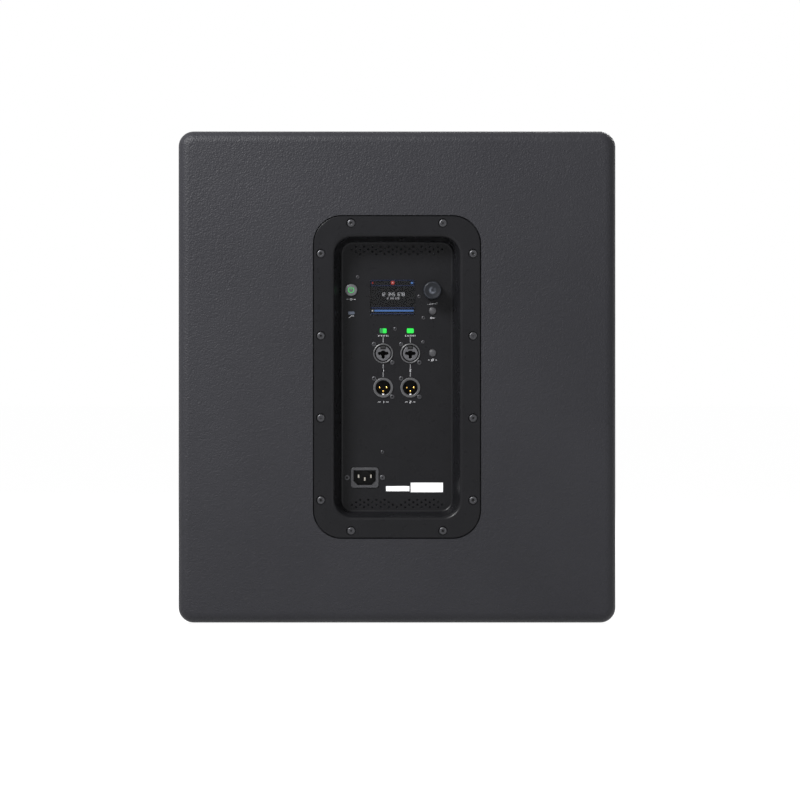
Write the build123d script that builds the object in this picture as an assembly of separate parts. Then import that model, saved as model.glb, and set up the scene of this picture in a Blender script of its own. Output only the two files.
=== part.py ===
from build123d import *
import math
import os

# Portable powered bass cabinet: a coated plywood box with a fifteen-inch woofer and a slot port
# behind a steel grille at the front (-Y), and a recessed amplifier panel at the back (+Y).
# Millimetres, +Z up, origin on the floor under the middle of the cabinet.

# ---------------------------------------------------------------- cabinet
CABINET_WIDTH = 490.0
CABINET_HEIGHT = 551.0
CABINET_DEPTH = 600.0
WALL = 18.0
LONG_EDGE_RADIUS = 17.0
BACK_ROUNDOVER = 12.0
FRONT_ROUNDOVER = 6.0
BAFFLE_SETBACK = 32.0
PORT_HEIGHT = 60.0
PORT_LENGTH = 300.0
PORT_DIVIDER_PITCH = 156.0
BRACE_FROM_BACK = 181.0
BRACE_BORDER = 40.0
BRACE_CORNER_RADIUS = 30.0
LINING_THICKNESS = 20.0
LINING_EDGE_GAP = 40.0

# ---------------------------------------------------------------- feet and pole socket
FOOT_RADIUS = 19.0
FOOT_THICKNESS = 8.0
FOOT_PROUD = 2.0
FOOT_INSET = 60.0
FOOT_CLEARANCE = 0.5
FOOT_SCREW_RECESS = 4.0
POLE_FLANGE_RADIUS = 42.0
POLE_FLANGE_THICKNESS = 3.0
POLE_TUBE_RADIUS = 17.0
POLE_THREAD_RADIUS = 8.75
POLE_THREAD_LENGTH = 45.0
POLE_SCREW_CIRCLE_RADIUS = 31.0

# ---------------------------------------------------------------- side handles
HANDLE_LENGTH = 212.0
HANDLE_HEIGHT = 122.0
HANDLE_FLANGE_THICKNESS = 3.0
HANDLE_CORNER_RADIUS = 20.0
CUP_LENGTH = 180.0
CUP_HEIGHT = 90.0
CUP_DEPTH = 62.0
CUP_WALL = 3.0
CUP_CORNER_RADIUS = 16.0
GRIP_HEIGHT = 22.0
GRIP_DEPTH = 20.0
GRIP_ABOVE_CENTRE = 16.0
GRIP_BEHIND_FACE = 1.5
HANDLE_CENTRE_Y = -20.0
HANDLE_CENTRE_Z = 332.0

# ---------------------------------------------------------------- grille
GRILLE_SHEET = 1.5
GRILLE_EDGE_GAP = 2.0
GRILLE_BEHIND_FRONT = 2.0
GRILLE_FOAM_THICKNESS = 6.0

# ---------------------------------------------------------------- woofer
WOOFER_RADIUS = 194.0
WOOFER_CUTOUT_RADIUS = 177.0
WOOFER_FLANGE_THICKNESS = 6.0
WOOFER_FLANGE_INNER_RADIUS = 172.0
WOOFER_SCREW_CIRCLE_RADIUS = 187.0
WOOFER_SCREW_COUNT = 8
SURROUND_ROLL_RADIUS = 9.6
CONE_RIM_RADIUS = 151.0
COIL_RADIUS = 38.2
MOTOR_RADIUS = 95.0

# ---------------------------------------------------------------- amplifier panel
AMP_WIDTH = 186.0
AMP_HEIGHT = 360.0
AMP_CORNER_RADIUS = 31.0
AMP_FLANGE_THICKNESS = 3.0
AMP_GASKET_THICKNESS = 2.0
AMP_REBATE_GAP = 1.2
AMP_SCREW_INSET = 7.8
AMP_SIDE_SCREW_PITCH = 92.0
AMP_END_SCREW_PITCH = 102.8
RECESS_WIDTH = 141.0
RECESS_HEIGHT = 314.0
RECESS_CORNER_RADIUS = 20.0
RECESS_FLOOR_WIDTH = 126.0
RECESS_FLOOR_HEIGHT = 304.0
RECESS_FLOOR_CORNER_RADIUS = 13.5
RECESS_DEPTH = 28.0
RECESS_MOUTH_ROUND = 3.2
PANEL_SHEET = 2.0
AMP_COVER_DEPTH = 100.0
AMP_COVER_SHEET = 1.5
PANEL_TO_BOARD = 22.4
BOARD_THICKNESS = 1.6

# places on the panel floor: x to the cabinet's +X side, z above the middle of the panel
POWER_BUTTON_AT = (51.7, 98.1)
LIMIT_LED_AT = (51.4, 72.1)
DISPLAY_AT = (4.9, 89.4)
KNOB_AT = (-39.8, 97.2)
BACK_BUTTON_AT = (-40.0, 74.5)
POLARITY_BUTTON_AT = (-40.0, 27.2)
CHANNEL_PITCH = 30.6
CHANNEL_CENTRE_X = 0.3
SIGNAL_LED_Z = 52.1
COMBO_JACK_Z = 26.6
THRU_JACK_Z = -12.0
INLET_AT = (36.4, -113.4)
SMALL_LABEL_AT = (-0.8, -125.8)
LARGE_LABEL_AT = (-33.6, -124.4)
PANEL_SCREW_PLACES = [(44.3, 112.7), (-25.0, 90.7), (-29.7, 66.6), (2.1, 54.1), (-29.3, 39.5), (16.4, -84.5)]

DISPLAY_WIDTH = 50.6
DISPLAY_HEIGHT = 39.6
KNOB_RADIUS = 10.3
KNOB_HEIGHT = 19.0
KNOB_PANEL_GAP = 1.2
KNOB_PRESS = 0.6
SHAFT_RADIUS = 3.0
SHAFT_CLEARANCE = 0.1
BUSHING_RADIUS = 4.4
POWER_BUTTON_RADIUS = 6.7
SMALL_BUTTON_RADIUS = 4.1
BUTTON_CLEARANCE = 0.3
BUTTON_PRESS = 0.8
LATCH_PRESS = 2.5
PRESS_RESERVE = 0.3
JACK_BODY_SIZE = 29.0
JACK_RING_RADIUS = 11.3
JACK_RING_PROUD = 1.5
JACK_SCREW_OFFSET = 10.3
COMBO_BORE_RADIUS = 9.4
COMBO_FACE_RADIUS = 8.3
PHONE_HOLE_RADIUS = 3.3
THRU_BORE_RADIUS = 8.3
PIN_RADIUS = 1.2
PIN_CIRCLE_RADIUS = 4.1
INLET_FRAME_WIDTH = 31.4
INLET_FRAME_HEIGHT = 23.0
INLET_OPENING_WIDTH = 24.8
INLET_OPENING_HEIGHT = 16.4
INLET_DEPTH = 17.0
INLET_SCREW_PITCH = 40.0
BLADE_PITCH = 14.0
VENT_RADIUS = 1.1
VENT_PITCH_X = 9.25
VENT_PITCH_Z = 2.75
VENT_FROM_CENTRE = 138.4
PANEL_FIT = 0.15

# ---------------------------------------------------------------- derived places
CABINET_BOTTOM = FOOT_PROUD
CABINET_TOP = FOOT_PROUD + CABINET_HEIGHT
CENTRE_Z = FOOT_PROUD + CABINET_HEIGHT / 2
BACK_Y = CABINET_DEPTH / 2
FRONT_Y = -CABINET_DEPTH / 2
SIDE_X = CABINET_WIDTH / 2
INNER_X = SIDE_X - WALL
INNER_BOTTOM = CABINET_BOTTOM + WALL
INNER_TOP = CABINET_TOP - WALL
INNER_BACK = BACK_Y - WALL
BAFFLE_FRONT = FRONT_Y + BAFFLE_SETBACK
BAFFLE_BACK = BAFFLE_FRONT + WALL
SHELF_TOP = INNER_BOTTOM + PORT_HEIGHT + WALL
WOOFER_Z = (SHELF_TOP + INNER_TOP) / 2
BRACE_Y = BACK_Y - BRACE_FROM_BACK
FLOOR_Y = BACK_Y - RECESS_DEPTH
FLOOR_BACK_Y = FLOOR_Y - PANEL_SHEET
BOARD_FRONT_Y = FLOOR_BACK_Y - PANEL_TO_BOARD
FLANGE_BACK_Y = BACK_Y - AMP_FLANGE_THICKNESS
REBATE_DEPTH = AMP_FLANGE_THICKNESS + AMP_GASKET_THICKNESS
GRILLE_FACE_Y = FRONT_Y + GRILLE_BEHIND_FRONT
CHANNEL_XS = [CHANNEL_CENTRE_X + CHANNEL_PITCH / 2, CHANNEL_CENTRE_X - CHANNEL_PITCH / 2]

nodes = {}


# ================================================================ shared shapes
def block(x_low, x_high, y_low, y_high, z_low, z_high):
    """A box given by its limits on each axis."""
    size = Box(x_high - x_low, y_high - y_low, z_high - z_low)
    return Pos((x_low + x_high) / 2, (y_low + y_high) / 2, (z_low + z_high) / 2) * size


def rod_y(radius, y_low, y_high, x, z):
    """A round rod along Y."""
    rod = Rot(90, 0, 0) * Cylinder(radius, y_high - y_low)
    return Pos(x, (y_low + y_high) / 2, z) * rod


def rod_z(radius, z_low, z_high, x, y):
    """A round rod along Z."""
    return Pos(x, y, (z_low + z_high) / 2) * Cylinder(radius, z_high - z_low)


def rod_x(radius, x_low, x_high, y, z):
    """A round rod along X."""
    rod = Rot(0, 90, 0) * Cylinder(radius, x_high - x_low)
    return Pos((x_low + x_high) / 2, y, z) * rod


def slab_y(width, height, radius, y_low, y_high, x=0.0, z=0.0):
    """A plate facing Y with rounded corners."""
    plate = extrude(RectangleRounded(width, height, radius), y_high - y_low)
    return Pos(x, y_high, z) * Rot(90, 0, 0) * plate


def slab_x(length, height, radius, x_low, x_high, y=0.0, z=0.0):
    """A plate facing X with rounded corners, length along Y and height along Z."""
    plate = extrude(RectangleRounded(height, length, radius), x_high - x_low)
    return Pos(x_low, y, z) * Rot(0, 90, 0) * plate


def turned_y(profile):
    """A turned body about the Y axis from (radius, y) points."""
    outline = make_face(Polyline(*profile, close=True))
    return revolve(outline, axis=Axis.Y)


def on_floor(place):
    """A panel place as x and z of the cabinet."""
    return place[0], CENTRE_Z + place[1]


def joined(shapes):
    """One part from shapes that touch or overlap."""
    result = shapes[0]
    for shape in shapes[1:]:
        result = result + shape
    return result


def group(shapes):
    """Separate solids kept together in one node."""
    solids = []
    for shape in shapes:
        solids.extend(shape.solids())
    return Compound(children=solids)


def screw_y(head_radius, head_height, shank_radius, shank_length, head_seat_y, x, z, outward=1):
    """A pan-head screw along Y with a hexagon socket; outward is the side its head faces."""
    head_end = head_seat_y + outward * head_height
    head = rod_y(head_radius, min(head_seat_y, head_end), max(head_seat_y, head_end), x, z)
    shank_end = head_seat_y - outward * shank_length
    shank = rod_y(shank_radius, min(head_seat_y, shank_end), max(head_seat_y, shank_end), x, z)
    socket_depth = head_height * 0.6
    socket_end = head_end - outward * socket_depth
    hexagon = extrude(RegularPolygon(head_radius * 0.42, 6), socket_depth)
    socket = Pos(x, max(head_end, socket_end), z) * Rot(90, 0, 0) * hexagon
    return head + shank - socket


# ================================================================ cabinet panels
def amp_screw_places():
    """The twelve flange screws: four down each side and two across each end."""
    side_x = AMP_WIDTH / 2 - AMP_SCREW_INSET
    end_z = AMP_HEIGHT / 2 - AMP_SCREW_INSET
    places = []
    for side in (-1, 1):
        for step in (-1.5, -0.5, 0.5, 1.5):
            places.append((side * side_x, CENTRE_Z + step * AMP_SIDE_SCREW_PITCH))
        for step in (-0.5, 0.5):
            places.append((step * AMP_END_SCREW_PITCH, CENTRE_Z + side * end_z))
    return places


def amp_cutout(y_low, y_high):
    """The hole in the back panel that the recessed amplifier passes through."""
    gap = 4.0
    return slab_y(RECESS_WIDTH + 2 * gap, RECESS_HEIGHT + 2 * gap, RECESS_CORNER_RADIUS + gap,
                  y_low, y_high, z=CENTRE_Z)


def foot_places():
    """The four foot centres in plan."""
    foot_x = SIDE_X - FOOT_INSET
    foot_y = BACK_Y - FOOT_INSET
    return [(x, y) for x in (-foot_x, foot_x) for y in (-foot_y, foot_y)]


def pole_screw_places():
    """The four pole socket screws in plan."""
    step = POLE_SCREW_CIRCLE_RADIUS / math.sqrt(2)
    return [(x, y) for x in (-step, step) for y in (-step, step)]


def handle_screw_places():
    """The four screws of one handle, as y and z."""
    step_y = (HANDLE_LENGTH + CUP_LENGTH) / 4
    step_z = (HANDLE_HEIGHT + CUP_HEIGHT) / 4 - 2.0
    low_high = (-1, 1)
    return [(HANDLE_CENTRE_Y + a * step_y, HANDLE_CENTRE_Z + b * step_z) for a in low_high for b in low_high]


def build_cabinet():
    """The rounded outside, cut into panels that meet edge to edge."""
    outside = block(-SIDE_X, SIDE_X, FRONT_Y, BACK_Y, CABINET_BOTTOM, CABINET_TOP)
    outside = fillet(outside.edges().filter_by(Axis.Y), LONG_EDGE_RADIUS)
    outside = fillet(outside.faces().sort_by(Axis.Y)[-1].edges(), BACK_ROUNDOVER)
    outside = fillet(outside.faces().sort_by(Axis.Y)[0].edges(), FRONT_ROUNDOVER)

    top = outside & block(-SIDE_X, SIDE_X, FRONT_Y, BACK_Y, INNER_TOP, CABINET_TOP)
    top -= rod_z(POLE_FLANGE_RADIUS + 0.5, CABINET_TOP - POLE_FLANGE_THICKNESS, CABINET_TOP + 1, 0, 0)
    top -= rod_z(POLE_TUBE_RADIUS + 0.5, INNER_TOP - 1, CABINET_TOP, 0, 0)
    for x, y in pole_screw_places():
        top -= rod_z(2.6, INNER_TOP - 1, CABINET_TOP, x, y)
    nodes["top_panel"] = top

    bottom = outside & block(-SIDE_X, SIDE_X, FRONT_Y, BACK_Y, CABINET_BOTTOM, INNER_BOTTOM)
    pocket_top = FOOT_THICKNESS
    for x, y in foot_places():
        bottom -= rod_z(FOOT_RADIUS + FOOT_CLEARANCE, CABINET_BOTTOM - 1, pocket_top, x, y)
        bottom -= rod_z(2.6, pocket_top - 1, INNER_BOTTOM + 1, x, y)
    nodes["bottom_panel"] = bottom

    for side, name in ((-1, "left_side_panel"), (1, "right_side_panel")):
        inner, outer = sorted((side * INNER_X, side * SIDE_X))
        panel = outside & block(inner, outer, FRONT_Y, BACK_Y, INNER_BOTTOM, INNER_TOP)
        rebate_floor = side * (SIDE_X - HANDLE_FLANGE_THICKNESS)
        rebate_low, rebate_high = sorted((rebate_floor, side * (SIDE_X + 1)))
        panel -= slab_x(HANDLE_LENGTH + 1, HANDLE_HEIGHT + 1, HANDLE_CORNER_RADIUS + 0.5,
                        rebate_low, rebate_high, HANDLE_CENTRE_Y, HANDLE_CENTRE_Z)
        panel -= slab_x(CUP_LENGTH + 2, CUP_HEIGHT + 2, CUP_CORNER_RADIUS + 1,
                        inner - 1, outer + 1, HANDLE_CENTRE_Y, HANDLE_CENTRE_Z)
        for y, z in handle_screw_places():
            panel -= rod_x(2.1, inner - 1, outer + 1, y, z)
        nodes[name] = panel

    back = outside & block(-INNER_X, INNER_X, INNER_BACK, BACK_Y, INNER_BOTTOM, INNER_TOP)
    back -= slab_y(AMP_WIDTH + 2 * AMP_REBATE_GAP, AMP_HEIGHT + 2 * AMP_REBATE_GAP,
                   AMP_CORNER_RADIUS + AMP_REBATE_GAP, BACK_Y - REBATE_DEPTH, BACK_Y + 1, z=CENTRE_Z)
    back -= amp_cutout(INNER_BACK - 1, BACK_Y + 1)
    for x, z in amp_screw_places():
        back -= rod_y(2.1, INNER_BACK - 1, BACK_Y, x, z)
    nodes["back_panel"] = back

    baffle = block(-INNER_X, INNER_X, BAFFLE_FRONT, BAFFLE_BACK, SHELF_TOP, INNER_TOP)
    baffle -= rod_y(WOOFER_CUTOUT_RADIUS, BAFFLE_FRONT - 1, BAFFLE_BACK + 1, 0, WOOFER_Z)
    for x, z in woofer_screw_places():
        baffle -= rod_y(2.6, BAFFLE_FRONT - 1, BAFFLE_BACK + 1, x, z)
    for x, z in grille_screw_places():
        baffle -= rod_y(2.1, BAFFLE_FRONT - 1, BAFFLE_BACK + 1, x, z)
    nodes["front_baffle"] = baffle

    port_back = BAFFLE_FRONT + PORT_LENGTH
    port_boards = [block(-INNER_X, INNER_X, BAFFLE_FRONT, port_back, SHELF_TOP - WALL, SHELF_TOP)]
    for side in (-0.5, 0.5):
        x = side * PORT_DIVIDER_PITCH
        port_boards.append(block(x - WALL / 2, x + WALL / 2, BAFFLE_FRONT, port_back,
                                 INNER_BOTTOM, SHELF_TOP - WALL))
    nodes["port_boards"] = group(port_boards)

    frame = block(-INNER_X, INNER_X, BRACE_Y, BRACE_Y + WALL, INNER_BOTTOM, INNER_TOP)
    frame -= slab_y(2 * (INNER_X - BRACE_BORDER), INNER_TOP - INNER_BOTTOM - 2 * BRACE_BORDER,
                    BRACE_CORNER_RADIUS, BRACE_Y - 1, BRACE_Y + WALL + 1, z=CENTRE_Z)
    nodes["window_brace"] = frame

    lining_x = INNER_X - LINING_EDGE_GAP
    top_lining = block(-lining_x, lining_x, BAFFLE_BACK + LINING_EDGE_GAP, BRACE_Y - LINING_EDGE_GAP,
                       INNER_TOP - LINING_THICKNESS, INNER_TOP)
    top_lining -= rod_z(POLE_FLANGE_RADIUS, INNER_TOP - LINING_THICKNESS - 1, INNER_TOP + 1, 0, 0)
    linings = [top_lining]
    for side in (-1, 1):
        near, far = sorted((side * (AMP_WIDTH / 2 + 12), side * (INNER_X - 12)))
        linings.append(block(near, far, INNER_BACK - LINING_THICKNESS, INNER_BACK,
                             INNER_BOTTOM + LINING_EDGE_GAP, INNER_TOP - LINING_EDGE_GAP))
    nodes["acoustic_lining"] = group(linings)


# ================================================================ feet and pole socket
def build_feet():
    """Rubber discs let into the bottom, each held by one screw; returns the screws."""
    feet = []
    screws = []
    for x, y in foot_places():
        foot = rod_z(FOOT_RADIUS, 0, FOOT_THICKNESS, x, y)
        foot = chamfer(foot.faces().sort_by(Axis.Z)[0].edges(), 1.2)
        foot -= rod_z(6.0, -1, FOOT_SCREW_RECESS, x, y)
        foot -= rod_z(2.6, 0, FOOT_THICKNESS + 1, x, y)
        feet.append(foot)
        screw = rod_z(5.0, FOOT_SCREW_RECESS - 2.4, FOOT_SCREW_RECESS, x, y)
        screw += rod_z(2.4, FOOT_SCREW_RECESS - 1, INNER_BOTTOM, x, y)
        screws.append(screw)
    nodes["rubber_feet"] = group(feet)
    return screws


def build_pole_socket():
    """A flanged steel cup with a threaded bore for a speaker pole; returns its screws."""
    flange_low = CABINET_TOP - POLE_FLANGE_THICKNESS
    socket = rod_z(POLE_FLANGE_RADIUS, flange_low, CABINET_TOP, 0, 0)
    tube_low = flange_low - POLE_THREAD_LENGTH
    socket += rod_z(POLE_TUBE_RADIUS, tube_low, CABINET_TOP, 0, 0)
    socket -= rod_z(POLE_THREAD_RADIUS, CABINET_TOP - POLE_THREAD_LENGTH, CABINET_TOP + 1, 0, 0)
    screws = []
    for x, y in pole_screw_places():
        socket -= rod_z(2.6, flange_low - 1, CABINET_TOP + 1, x, y)
        socket -= rod_z(4.7, CABINET_TOP - 2.0, CABINET_TOP + 1, x, y)
        screw = rod_z(4.4, CABINET_TOP - 2.0, CABINET_TOP - 0.2, x, y)
        screw += rod_z(2.4, INNER_TOP, CABINET_TOP - 1, x, y)
        screws.append(screw)
    nodes["pole_socket"] = socket
    return screws


# ================================================================ side handles
def build_handles():
    """A moulded cup let into each side with a grip bar across it; returns the screws."""
    screws = []
    grips = []
    for side, name in ((-1, "left"), (1, "right")):
        face = side * SIDE_X
        flange_low, flange_high = sorted((face, face - side * HANDLE_FLANGE_THICKNESS))
        cup_low, cup_high = sorted((face, face - side * CUP_DEPTH))
        cup = slab_x(HANDLE_LENGTH, HANDLE_HEIGHT, HANDLE_CORNER_RADIUS, flange_low, flange_high,
                     HANDLE_CENTRE_Y, HANDLE_CENTRE_Z)
        cup += slab_x(CUP_LENGTH, CUP_HEIGHT, CUP_CORNER_RADIUS, cup_low, cup_high,
                      HANDLE_CENTRE_Y, HANDLE_CENTRE_Z)
        hollow_low, hollow_high = sorted((face + side, face - side * (CUP_DEPTH - CUP_WALL)))
        cup -= slab_x(CUP_LENGTH - 2 * CUP_WALL, CUP_HEIGHT - 2 * CUP_WALL, CUP_CORNER_RADIUS - CUP_WALL,
                      hollow_low, hollow_high, HANDLE_CENTRE_Y, HANDLE_CENTRE_Z)
        for y, z in handle_screw_places():
            seat = face - side * 1.8
            hole_low, hole_high = sorted((face + side, face - side * (HANDLE_FLANGE_THICKNESS + 1)))
            cup -= rod_x(2.3, hole_low, hole_high, y, z)
            seat_low, seat_high = sorted((seat, face + side))
            cup -= rod_x(4.4, seat_low, seat_high, y, z)
            head_low, head_high = sorted((seat, face - side * 0.2))
            screw = rod_x(4.1, head_low, head_high, y, z)
            shank_low, shank_high = sorted((face - side, side * (INNER_X + 2)))
            screw += rod_x(1.9, shank_low, shank_high, y, z)
            screws.append(screw)
        nodes["handle_cup_" + name] = cup

        bar_low, bar_high = sorted((face - side * GRIP_BEHIND_FACE,
                                    face - side * (GRIP_BEHIND_FACE + GRIP_DEPTH)))
        bar_reach = CUP_LENGTH / 2 - CUP_WALL
        bar_z = HANDLE_CENTRE_Z + GRIP_ABOVE_CENTRE
        bar = block(bar_low, bar_high, HANDLE_CENTRE_Y - bar_reach, HANDLE_CENTRE_Y + bar_reach,
                    bar_z - GRIP_HEIGHT / 2, bar_z + GRIP_HEIGHT / 2)
        grips.append(fillet(bar.edges().filter_by(Axis.Y), 7.0))
    nodes["handle_grips"] = group(grips)
    return screws


# ================================================================ grille
def grille_screw_places():
    """Six screws down the two sides of the grille face, clear of the woofer."""
    x = INNER_X - 12.0
    high = INNER_TOP - 12.0
    low = SHELF_TOP + 12.0
    middle = (high + low) / 2
    corner_and_edge = [(side * x, z) for side in (-1, 1) for z in (low, middle, high)]
    return corner_and_edge


def build_grille():
    """A steel sheet with folded edges that rest on the baffle, backed by thin foam."""
    half_x = INNER_X - GRILLE_EDGE_GAP
    low = INNER_BOTTOM + GRILLE_EDGE_GAP
    high = INNER_TOP - GRILLE_EDGE_GAP
    grille = slab_y(2 * half_x, high - low, 8.0, GRILLE_FACE_Y, BAFFLE_FRONT, z=CENTRE_Z)
    grille -= slab_y(2 * (half_x - GRILLE_SHEET), high - low - 2 * GRILLE_SHEET, 8.0 - GRILLE_SHEET,
                     GRILLE_FACE_Y + GRILLE_SHEET, BAFFLE_FRONT + 1, z=CENTRE_Z)
    foam = slab_y(2 * (half_x - GRILLE_SHEET) - 2, high - low - 2 * GRILLE_SHEET - 2, 6.0,
                  GRILLE_FACE_Y + GRILLE_SHEET, GRILLE_FACE_Y + GRILLE_SHEET + GRILLE_FOAM_THICKNESS, z=CENTRE_Z)
    screws = []
    for x, z in grille_screw_places():
        grille -= rod_y(2.6, GRILLE_FACE_Y - 1, GRILLE_FACE_Y + GRILLE_SHEET + 1, x, z)
        foam -= rod_y(4.0, GRILLE_FACE_Y, GRILLE_FACE_Y + 20, x, z)
        shank_length = BAFFLE_BACK - GRILLE_FACE_Y - 4
        screws.append(screw_y(4.5, 1.8, 1.9, shank_length, GRILLE_FACE_Y, x, z, outward=-1))
    nodes["front_grille"] = grille
    nodes["grille_foam"] = foam
    nodes["grille_screws"] = group(screws)


# ================================================================ woofer
def woofer_screw_places():
    """The woofer's flange screws on their circle."""
    places = []
    for index in range(WOOFER_SCREW_COUNT):
        angle = math.radians((index + 0.5) * 360 / WOOFER_SCREW_COUNT)
        places.append((WOOFER_SCREW_CIRCLE_RADIUS * math.cos(angle),
                       WOOFER_Z + WOOFER_SCREW_CIRCLE_RADIUS * math.sin(angle)))
    return places


def build_woofer():
    """The fifteen-inch driver, with depths counted inwards from the baffle's front face."""
    seat = Pos(0, BAFFLE_FRONT, WOOFER_Z)
    flange_front = -WOOFER_FLANGE_THICKNESS
    spider_y = 100.0
    plate_front = spider_y + 12.0
    plate_back = plate_front + 10.0
    magnet_back = plate_back + 24.0
    yoke_back = magnet_back + 12.0
    lip = 1.2
    neck_radius = COIL_RADIUS + 0.6
    rim_radius = CONE_RIM_RADIUS
    cone_slope_end = rim_radius - 7.0
    neck_y = 62.0

    basket = turned_y([(WOOFER_RADIUS, flange_front), (WOOFER_RADIUS, 0), (WOOFER_CUTOUT_RADIUS - 2, 0),
                       (WOOFER_CUTOUT_RADIUS - 5, 30), (MOTOR_RADIUS + 1, 96), (MOTOR_RADIUS + 1, plate_front),
                       (62, plate_front), (62, spider_y), (MOTOR_RADIUS - 5, spider_y),
                       (MOTOR_RADIUS - 5, 93), (WOOFER_FLANGE_INNER_RADIUS - 4, 27),
                       (WOOFER_FLANGE_INNER_RADIUS, flange_front)])
    for index in range(6):
        window = Pos(MOTOR_RADIUS + 38, 62, 0) * Box(46, 80, 78)
        basket -= Rot(0, index * 60, 0) * window
    basket = seat * basket
    gasket = seat * turned_y([(WOOFER_RADIUS - 1, flange_front), (WOOFER_RADIUS - 1, flange_front - 3.5),
                              (WOOFER_RADIUS - 13, flange_front - 3.5), (WOOFER_RADIUS - 13, flange_front)])
    screws = []
    for x, z in woofer_screw_places():
        seat_y = BAFFLE_FRONT + flange_front - 3.5
        basket -= rod_y(2.8, seat_y - 1, BAFFLE_BACK, x, z)
        gasket -= rod_y(2.8, seat_y - 1, BAFFLE_BACK, x, z)
        screws.append(screw_y(4.6, 2.6, 2.4, 26.0, seat_y, x, z, outward=-1))
    nodes["woofer_basket"] = basket
    nodes["woofer_gasket"] = gasket
    nodes["woofer_screws"] = group(screws)

    top_plate = turned_y([(COIL_RADIUS + 2.8, plate_front), (MOTOR_RADIUS - 5, plate_front),
                          (MOTOR_RADIUS - 5, plate_back), (COIL_RADIUS + 2.8, plate_back)])
    nodes["motor_magnet"] = seat * turned_y([(50, plate_back), (MOTOR_RADIUS, plate_back),
                                             (MOTOR_RADIUS, magnet_back), (50, magnet_back)])
    pole_radius = COIL_RADIUS - 1.0
    vent_radius = 14.0
    yoke = turned_y([(vent_radius, plate_front), (pole_radius, plate_front),
                     (pole_radius, magnet_back), (MOTOR_RADIUS - 5, magnet_back),
                     (MOTOR_RADIUS - 5, yoke_back), (vent_radius, yoke_back)])
    nodes["motor_steel"] = group([seat * top_plate, seat * yoke])

    former = turned_y([(COIL_RADIUS, neck_y - 4), (COIL_RADIUS + 0.5, neck_y - 4),
                       (COIL_RADIUS + 0.5, plate_front - 8), (COIL_RADIUS + 1.7, plate_front - 8),
                       (COIL_RADIUS + 1.7, plate_back + 8), (COIL_RADIUS, plate_back + 8)])
    nodes["voice_coil"] = seat * former
    nodes["woofer_cone"] = seat * turned_y([(neck_radius, neck_y), (cone_slope_end, flange_front),
                                            (rim_radius, flange_front), (rim_radius, flange_front + 1.6),
                                            (cone_slope_end + 1, flange_front + 1.6), (neck_radius, neck_y + 2.2)])
    cap_radius = 56.0
    cap_height = 15.0
    cap_gap = 0.5
    cap_sphere = (cap_radius ** 2 + cap_height ** 2) / (2 * cap_height)
    cap_edge_y = neck_y + (cap_radius - neck_radius) * (flange_front - neck_y) / (cone_slope_end - neck_radius)
    cap_edge_y -= cap_gap
    cap_centre = Pos(0, cap_edge_y - cap_height + cap_sphere, 0)
    cap = cap_centre * Sphere(cap_sphere) - cap_centre * Sphere(cap_sphere - 1.0)
    cap &= block(-cap_radius - 1, cap_radius + 1, cap_edge_y - cap_height - 1, cap_edge_y,
                 -cap_radius - 1, cap_radius + 1)
    nodes["dust_cap"] = seat * cap

    roll_middle = (rim_radius + WOOFER_FLANGE_INNER_RADIUS) / 2
    roll = SURROUND_ROLL_RADIUS
    outer_roll = roll + lip
    front = flange_front - lip
    surround_outline = make_face([
        Line((rim_radius - 6, front), (roll_middle - outer_roll, front)),
        ThreePointArc((roll_middle - outer_roll, front), (roll_middle, front - outer_roll),
                      (roll_middle + outer_roll, front)),
        Line((roll_middle + outer_roll, front), (WOOFER_RADIUS - 14, front)),
        Line((WOOFER_RADIUS - 14, front), (WOOFER_RADIUS - 14, flange_front)),
        Line((WOOFER_RADIUS - 14, flange_front), (roll_middle + roll, flange_front)),
        Line((roll_middle + roll, flange_front), (roll_middle + roll, front)),
        ThreePointArc((roll_middle + roll, front), (roll_middle, front - roll), (roll_middle - roll, front)),
        Line((roll_middle - roll, front), (roll_middle - roll, flange_front)),
        Line((roll_middle - roll, flange_front), (rim_radius - 6, flange_front)),
        Line((rim_radius - 6, flange_front), (rim_radius - 6, front)),
    ])
    nodes["cone_surround"] = seat * revolve(surround_outline, axis=Axis.Y)
    nodes["spider"] = seat * turned_y([(neck_radius, spider_y - lip), (MOTOR_RADIUS - 6, spider_y - lip),
                                       (MOTOR_RADIUS - 6, spider_y), (neck_radius, spider_y)])
    terminal_top = WOOFER_Z - MOTOR_RADIUS - 1.3
    nodes["woofer_terminals"] = block(-14, 14, BAFFLE_FRONT + spider_y, BAFFLE_FRONT + plate_front,
                                      terminal_top - 9, terminal_top)


# ================================================================ amplifier panel
def vent_hole_places():
    """Staggered rows of small vent holes near the top and bottom of the panel floor."""
    places = []
    top_rows = [[0, 2, 3, 4, 5, 6, 7, 9], range(11), range(12), range(11)]
    bottom_rows = [[1, 2, 3, 4, 7, 8, 9, 10], [0, 1, 2, 3, 4, 6, 7, 8, 9, 10], range(12), range(11)]
    row_lengths_top = [10, 11, 12, 11]
    row_lengths_bottom = [12, 11, 12, 11]
    for rows, lengths, side in ((top_rows, row_lengths_top, 1), (bottom_rows, row_lengths_bottom, -1)):
        for index, columns in enumerate(rows):
            z = side * (VENT_FROM_CENTRE + index * VENT_PITCH_Z)
            first = -(lengths[index] - 1) / 2 * VENT_PITCH_X
            for column in columns:
                places.append((first + column * VENT_PITCH_X, CENTRE_Z + z))
    return places


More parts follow.
